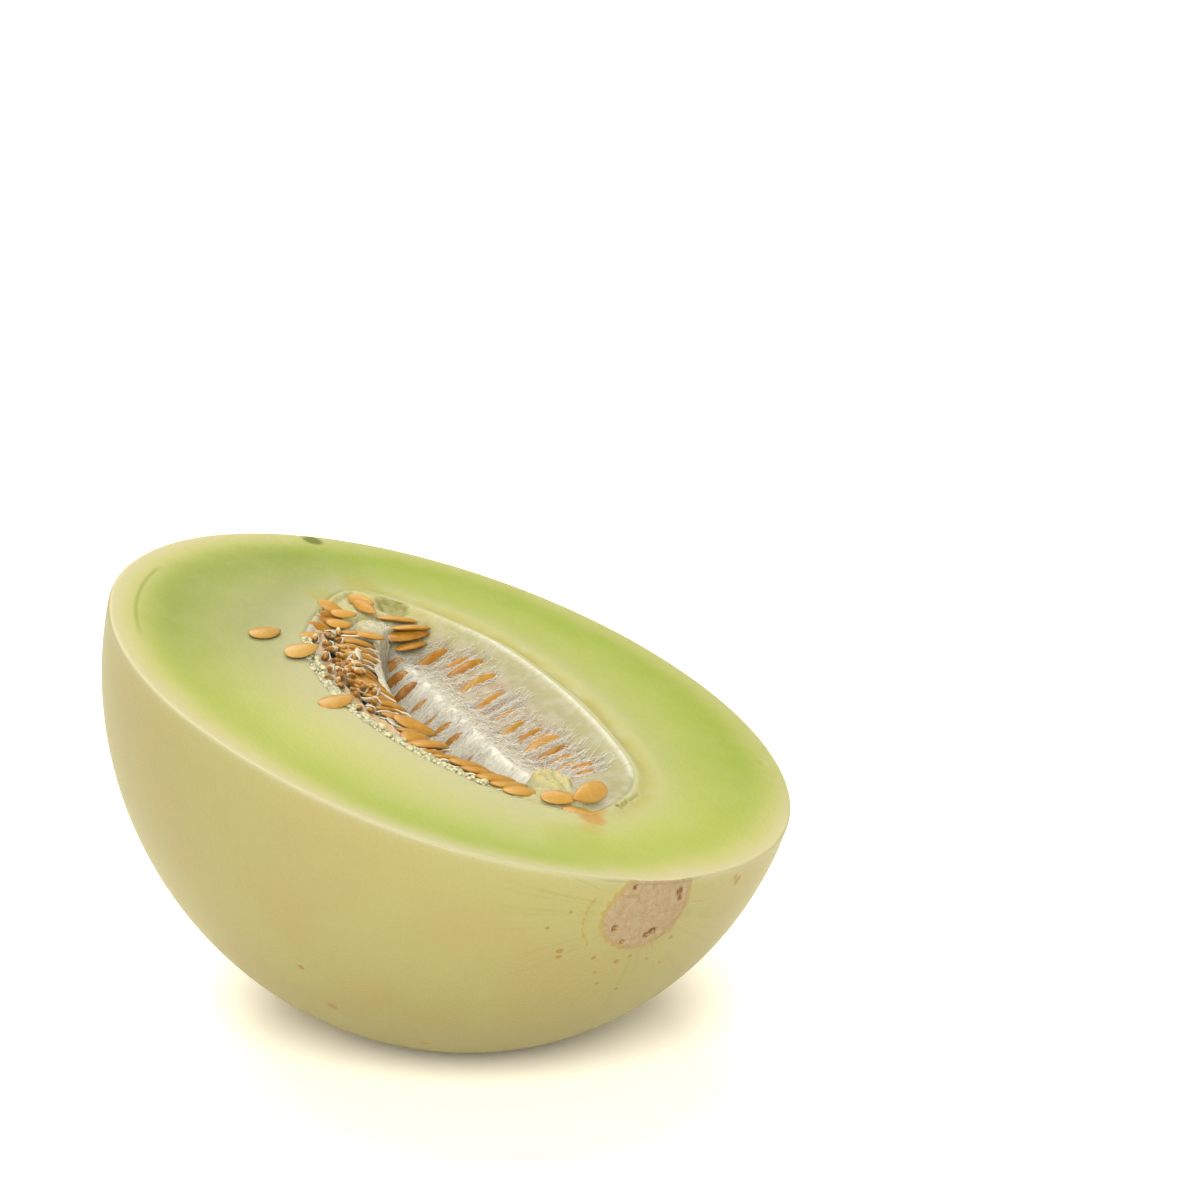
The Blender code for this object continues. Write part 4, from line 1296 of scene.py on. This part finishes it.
# %% Seeds of the row and the heap
ROW_SEEDS = [(-28.6, -8.6, -0.9, 92, 10, -24, 1.00, 0.60), (-24.7, -11.6, -1.1, 93, 11, -18, 1.08, 0.62),
             (-21.6, -12.6, -1.6, 84, 12, -26, 1.02, 0.50), (-18.6, -14.2, -1.5, 80, 12, -20, 1.00, 0.66),
             (-15.6, -16.4, -1.5, 90, 13, -22, 0.94, 0.45), (-12.4, -17.2, -1.9, 74, 16, -16, 0.96, 0.35),
             (-9.2, -18.3, -1.8, 70, 15, -28, 0.92, 0.40), (-5.8, -18.6, -1.9, 72, 14, -20, 0.95, 0.62),
             (-2.2, -18.4, -1.7, 64, 15, -24, 0.98, 0.58), (0.8, -20.6, -1.6, 76, 18, -18, 0.90, 0.40),
             (3.6, -19.4, -1.9, 84, 14, -26, 0.95, 0.52), (6.4, -19.4, -1.6, 90, 14, -18, 0.98, 0.60),
             (9.2, -21.0, -1.7, 100, 16, -30, 0.90, 0.45), (12.6, -19.6, -1.9, 84, 14, -16, 0.95, 0.55),
             (16.2, -17.9, -1.5, 78, 15, 6, 1.02, 0.70), (19.2, -19.9, -1.8, 98, 12, -22, 0.96, 0.50),
             (22.0, -20.9, -1.4, 116, 10, 14, 0.98, 0.66), (25.4, -19.2, -1.3, 104, 10, -14, 1.06, 0.72),
             (28.2, -20.6, -1.9, 110, 12, -20, 0.94, 0.38), (31.4, -17.6, -1.7, 92, 12, -26, 0.96, 0.48),
             (34.9, -14.6, -1.3, 84, 12, -12, 0.98, 0.62), (38.3, -13.4, -1.3, 82, 11, -18, 1.02, 0.55),
             (41.2, -11.6, -1.1, 97, 10, -12, 1.04, 0.66), (44.6, -10.6, -0.9, 101, 9, -16, 1.00, 0.78),
             (47.9, -9.3, -0.5, 96, 8, -6, 0.96, 0.98)]
ROW_TIPS = [(-20.6, -21.6, 1.0), (-16.4, -24.0, 0.9), (-12.9, -26.2, 1.0), (-10.2, -24.4, 1.1),
            (-10.6, -21.6, 0.8), (-6.9, -23.0, 1.1), (-7.4, -28.0, 0.8), (-3.2, -27.4, 1.2),
            (-0.4, -23.8, 1.1), (0.9, -29.0, 0.8), (2.4, -24.6, 1.0), (5.0, -27.4, 1.0),
            (9.0, -25.4, 0.9), (11.6, -30.3, 0.8), (12.4, -27.6, 0.8), (-18.6, -18.4, 0.9),
            (-14.2, -20.8, 1.0), (-2.6, -31.0, 0.7), (-24.4, -19.6, 0.9), (-28.2, -17.6, 0.9),
            (-23.0, -23.6, 0.8), (-5.4, -25.6, 0.9)]
TIP_HEADING = -36.0
TIP_RISE = 24.0
HEAP_SEEDS = [(-42.2, -9.6, -0.1, 62, 6, 40, 0.59, 0.72), (-39.4, -10.6, -1.15, 96, 6, 20, 0.67, 0.2),
              (-36.8, -9.0, 0.65, 85, 0, 16, 0.61, 0.92), (-34.0, -12.0, -0.75, 100, 8, 30, 0.67, 0.3),
              (-31.2, -13.0, 0.55, 91, 2, 16, 0.64, 0.9), (-26.8, -7.4, -0.05, 80, 4, -4, 0.76, 0.95),
              (-45.8, 0.4, 0.4, 40, -6, 40, 0.62, 0.86), (-42.0, -0.4, 0.2, 30, 2, 36, 0.60, 0.66),
              (-25.8, -23.2, -0.25, 104, -2, 10, 0.59, 0.9), (-36.0, -15.0, -1.35, 70, 4, 40, 0.67, 0.25),
              (-32.0, -17.2, -1.15, 84, 6, 40, 0.64, 0.45)]


ROW_PLACES = [lying_seed(*row[:6]) @ Matrix.Scale(row[6], 4) for row in ROW_SEEDS]


def tip_places():
    """Matrices of the outer seeds, whose tips reach the given points of the surface."""
    draw = random.Random(8)
    places = []
    between = [(x + 2.0, y + 1.7, 0.9 * size) for x, y, size in ROW_TIPS if x < 4]
    for x, y, size in ROW_TIPS + between:
        heading = TIP_HEADING + draw.uniform(-16, 16)
        rise = TIP_RISE + draw.uniform(-10, 10)
        tip = Vector((x, y, draw.uniform(0.1, 0.9)))
        matrix = lying_seed(0, 0, 0, heading, -rise, draw.uniform(0, 180))
        back = matrix @ Vector((SEED_LENGTH * 0.42 * size, 0, 0))
        squeeze = Matrix.Diagonal((size, size * 0.74, size * 0.95, 1.0))
        places.append(Matrix.Translation(tip - back) @ matrix @ squeeze)
    return places


TIP_PLACES = tip_places()


def near_seed_row():
    draw = random.Random(31)
    bm = bmesh.new()
    for row, matrix in zip(ROW_SEEDS, ROW_PLACES):
        sow(bm, SEED, matrix, row[7], draw.uniform(-1.4, 0.6))
    for row in HEAP_SEEDS:
        sow(bm, SEED, lying_seed(*row[:6]) @ Matrix.Scale(row[6], 4), row[7],
            draw.uniform(-1.2, 1.2))
    finish_piece("row_seeds", bm, [SEED_MAT], ["near_seed_row"])
    bm = bmesh.new()
    for matrix in TIP_PLACES:
        sow(bm, SEED, matrix, draw.uniform(0.2, 0.8))
    finish_piece("row_tips", bm, [WRAPPED_MAT], ["near_seed_row"])


near_seed_row()

# %% [markdown]
# ## Membranes between the row's seeds
# Each seed of the row sits in a sleeve of white membrane, whose edge shows as a thin pale
# line between it and the next. A curled oval sheet under every seed gives that edge. It
# is a grid, bent round the seed's flat side and given a real thickness.

# %% Sleeves of membrane
SLEEVE_THICKNESS = 0.22


def make_sleeve_template():
    bm = bmesh.new()
    bmesh.ops.create_grid(bm, x_segments=14, y_segments=7, size=1.0)
    bm.verts.layers.float.new("seed_tone")
    for v in bm.verts:
        x, y = v.co.x, v.co.y
        width = math.sqrt(1 - 0.92 * x * x)
        v.co = (x * SEED_LENGTH * 0.55,
                y * width * SEED_WIDTH * 0.60 * (1 - SEED_TAPER * x),
                -SEED_THICKNESS * (0.60 - 0.40 * y * y * width))
    bmesh.ops.solidify(bm, geom=bm.faces[:], thickness=SLEEVE_THICKNESS)
    bmesh.ops.recalc_face_normals(bm, faces=bm.faces)
    mesh = bpy.data.meshes.new("sleeve_template")
    bm.to_mesh(mesh)
    bm.free()
    return mesh


SLEEVE = make_sleeve_template()


def ruffle(verts, size, depth, seed):
    """Push points about by smooth noise, so that thin sheets look soft and torn."""
    for v in verts:
        v.co += noise.noise_vector(v.co / size + Vector((seed, 0.0, 0.0))) * depth


def row_membranes():
    draw = random.Random(41)
    bm = bmesh.new()
    for matrix in ROW_PLACES:
        shift = Matrix.Translation((draw.uniform(-0.5, 0.5), draw.uniform(-0.3, 0.3), 0))
        shift = shift @ Matrix.Diagonal((1.0, 0.9, 1.0, 1.0))
        added = sow(bm, SLEEVE, matrix @ shift, 0.5)
        ruffle(added, 1.8, 0.35, draw.uniform(0, 50))
    for matrix in TIP_PLACES[::2]:
        added = sow(bm, SLEEVE, matrix @ Matrix.Translation((-2.0, 0, 0)), 0.5)
        ruffle(added, 2.0, 0.25, draw.uniform(0, 50))
    finish_piece("row_membranes", bm, [MEMBRANE_MAT])


row_membranes()

# %% [markdown]
# ## The sheet of membrane
# A larger sheet of the same skin drapes over the inner side of the wide end of the row,
# down to the trench. It is a grid drawn between two lines, ruffled, and given a
# thickness.

# %% Drape the sheet
SHEETS = [("flank_membrane",
           [(-31, -2.5, -1.6), (-26, -6.0, -2.0), (-20, -8.8, -2.6), (-13, -11.6, -3.2),
            (-5, -13.4, -3.8), (4, -14.4, -4.2)],
           [(-32, 1.8, -12), (-27, -0.6, -14), (-20, -2.6, -15), (-12, -4.6, -15.5),
            (-4, -6.4, -15.5), (4, -8.0, -15.0)], 1.1, 0.8)]


def membrane_sheet(name, upper, lower, size, depth):
    bm = bmesh.new()
    bmesh.ops.create_grid(bm, x_segments=70, y_segments=26, size=0.5)
    bm.verts.layers.float.new("seed_tone")
    upper_run = smooth_run(upper, 14, False)
    lower_run = smooth_run(lower, 14, False)
    for v in bm.verts:
        along = (v.co.x + 0.5) * (len(upper_run) - 1)
        at = min(int(along), len(upper_run) - 2)
        top = upper_run[at].lerp(upper_run[at + 1], along - at)
        foot = lower_run[at].lerp(lower_run[at + 1], along - at)
        fall = v.co.y + 0.5
        place = top.lerp(foot, fall)
        place.z += 0.25 * (top.z - foot.z) * math.sin(math.pi * fall)
        ridges = noise.noise(Vector((place.x * 0.9, fall * 1.5, 4.0)))
        v.co = place + Vector((0, -0.7, 0.7)) * ridges * depth
    ruffle(bm.verts, size, 0.4 * depth, 3.0)
    bmesh.ops.solidify(bm, geom=bm.faces[:], thickness=0.25)
    bmesh.ops.recalc_face_normals(bm, faces=bm.faces)
    finish_piece(name, bm, [MEMBRANE_MAT])


for sheet in SHEETS:
    membrane_sheet(*sheet)

# %% [markdown]
# ## Fuzz on the pulp
# Torn pulp ends in short soft fibres, thickest beside the slots and under the crest. Each
# is a curve of four points that starts in the surface and bends down the slope. A curve
# with many splines takes one round section, and is then turned into a mesh.

# %% Grow the fuzz
FUZZ_STRANDS = 4200
FUZZ_RADIUS = 0.08


def fuzz_spline(curve, start, lean, length, draw):
    spline = curve.splines.new("POLY")
    spline.points.add(3)
    side = Vector((draw.uniform(-0.5, 0.5), draw.uniform(-0.3, 0.3), 0.0))
    for k in range(4):
        t = k / 3
        place = start + (lean + side * t) * (length * t)
        place.z += 0.9 * math.sin(math.pi * (0.08 + 0.72 * t)) * draw.uniform(0.4, 1.2) - 0.3
        spline.points[k].co = (*place, 1.0)
        spline.points[k].radius = 1.0 - 0.7 * t


def pulp_fuzz():
    draw = random.Random(71)
    curve = bpy.data.curves.new("fuzz_curve", "CURVE")
    curve.dimensions = "3D"
    curve.bevel_depth = FUZZ_RADIUS
    curve.bevel_resolution = 0
    curve.use_fill_caps = True
    for i in range(FUZZ_STRANDS):
        if i % 4 < 3:
            middle, down, matrix = draw.choice(SLOT_PLACES + TRENCH_PLACES)
            off = down.xy.normalized().orthogonal() * draw.choice((-1, 1))
            place = middle.xy + down.xy * draw.uniform(-6.5, 6.5)
            place += off * draw.uniform(0.3, 2.4)
        else:
            x = draw.uniform(-36.0, 36.0)
            place = Vector((x, crest_line(x) + draw.gauss(0, 5.0)))
        if not mouth_edge(place.x, False) + 1 < place.y < mouth_edge(place.x, True) - 3:
            continue
        start = on_pulp(place.x, place.y)
        ahead = on_pulp(place.x, place.y - 0.8)
        lean = (ahead - start).normalized() * draw.choice((-1, 1, 1))
        fuzz_spline(curve, start, lean, draw.uniform(1.0, 3.0), draw)
    holder = bpy.data.objects.new("fuzz_holder", curve)
    scene.collection.objects.link(holder)
    bm = bmesh.new()
    bm.from_mesh(bpy.data.meshes.new_from_object(holder))
    bpy.data.objects.remove(holder)
    finish_piece("pulp_fuzz", bm, [FUZZ_MAT])


FUZZ_MAT = pulp_material("pulp_fuzz", paint(250, 242, 220, 1.35), False)
pulp_fuzz()

# %% [markdown]
# ## Crumbs of pulp
# Where the knife tore the pulp beside the row, it broke into small curds. They are little
# spheres, each squeezed and dented by noise, sown along the near edge of the mouth.

# %% Sow the crumbs
CRUMBS = 280


def make_crumb_template():
    bm = bmesh.new()
    bmesh.ops.create_icosphere(bm, subdivisions=2, radius=1.0)
    bm.verts.layers.float.new("seed_tone")
    mesh = bpy.data.meshes.new("crumb_template")
    bm.to_mesh(mesh)
    bm.free()
    return mesh


def row_crumbs():
    crumb = make_crumb_template()
    draw = random.Random(51)
    bm = bmesh.new()
    for i in range(CRUMBS):
        x = draw.uniform(-24.0, 46.0)
        y = mouth_edge(x, False) + draw.uniform(-0.6, 1.9)
        size = draw.uniform(0.3, 0.85)
        place = Matrix.Translation((x, y, draw.uniform(-0.45, 0.15)))
        squeeze = Matrix.Diagonal((size * draw.uniform(0.8, 1.5), size,
                                   size * draw.uniform(0.5, 0.8), 1.0))
        turn = Matrix.Rotation(draw.uniform(0, math.pi), 4, "Z")
        added = sow(bm, crumb, place @ turn @ squeeze, 0.5)
        ruffle(added, 1.0, 0.45 * size, draw.uniform(0, 50))
    finish_piece("row_crumbs", bm, [CRUMB_MAT])


row_crumbs()

# %% [markdown]
# ## Seeds that fell out
# Six seeds lie loose on the cut or the pulp. Each is a piece of its own, at the place and
# turn of its plain one.

# %% Loose seeds
LOOSE_SEEDS = [(-24.4, -35.6, 0.7, 110, 0, 4, 0.9), (-14.2, -31.6, 1.5, 106, -6, 12, 0.9),
               (9.4, -34.6, 0.6, 104, -7, 6, 0.9), (53.6, 3.5, 2.3, -73, 6, -38, 0.97),
               (53.2, -3.6, 1.0, 76, -4, 20, 0.8), (58.0, 0.0, -0.7, 63, 2, 14, 0.9)]


def loose_seeds():
    draw = random.Random(61)
    for number, (x, y, z, heading, dip, tip, size) in enumerate(LOOSE_SEEDS, 1):
        matrix = lying_seed(x, y, z, heading, dip, tip)
        bm = bmesh.new()
        sow(bm, SEED, matrix @ Matrix.Scale(size, 4), draw.uniform(0.2, 0.9),
            draw.uniform(-0.6, 0.6))
        finish_piece("loose_seed_%d_fine" % number, bm, [LOOSE_MAT],
                     ["loose_seed_%d" % number])


loose_seeds()
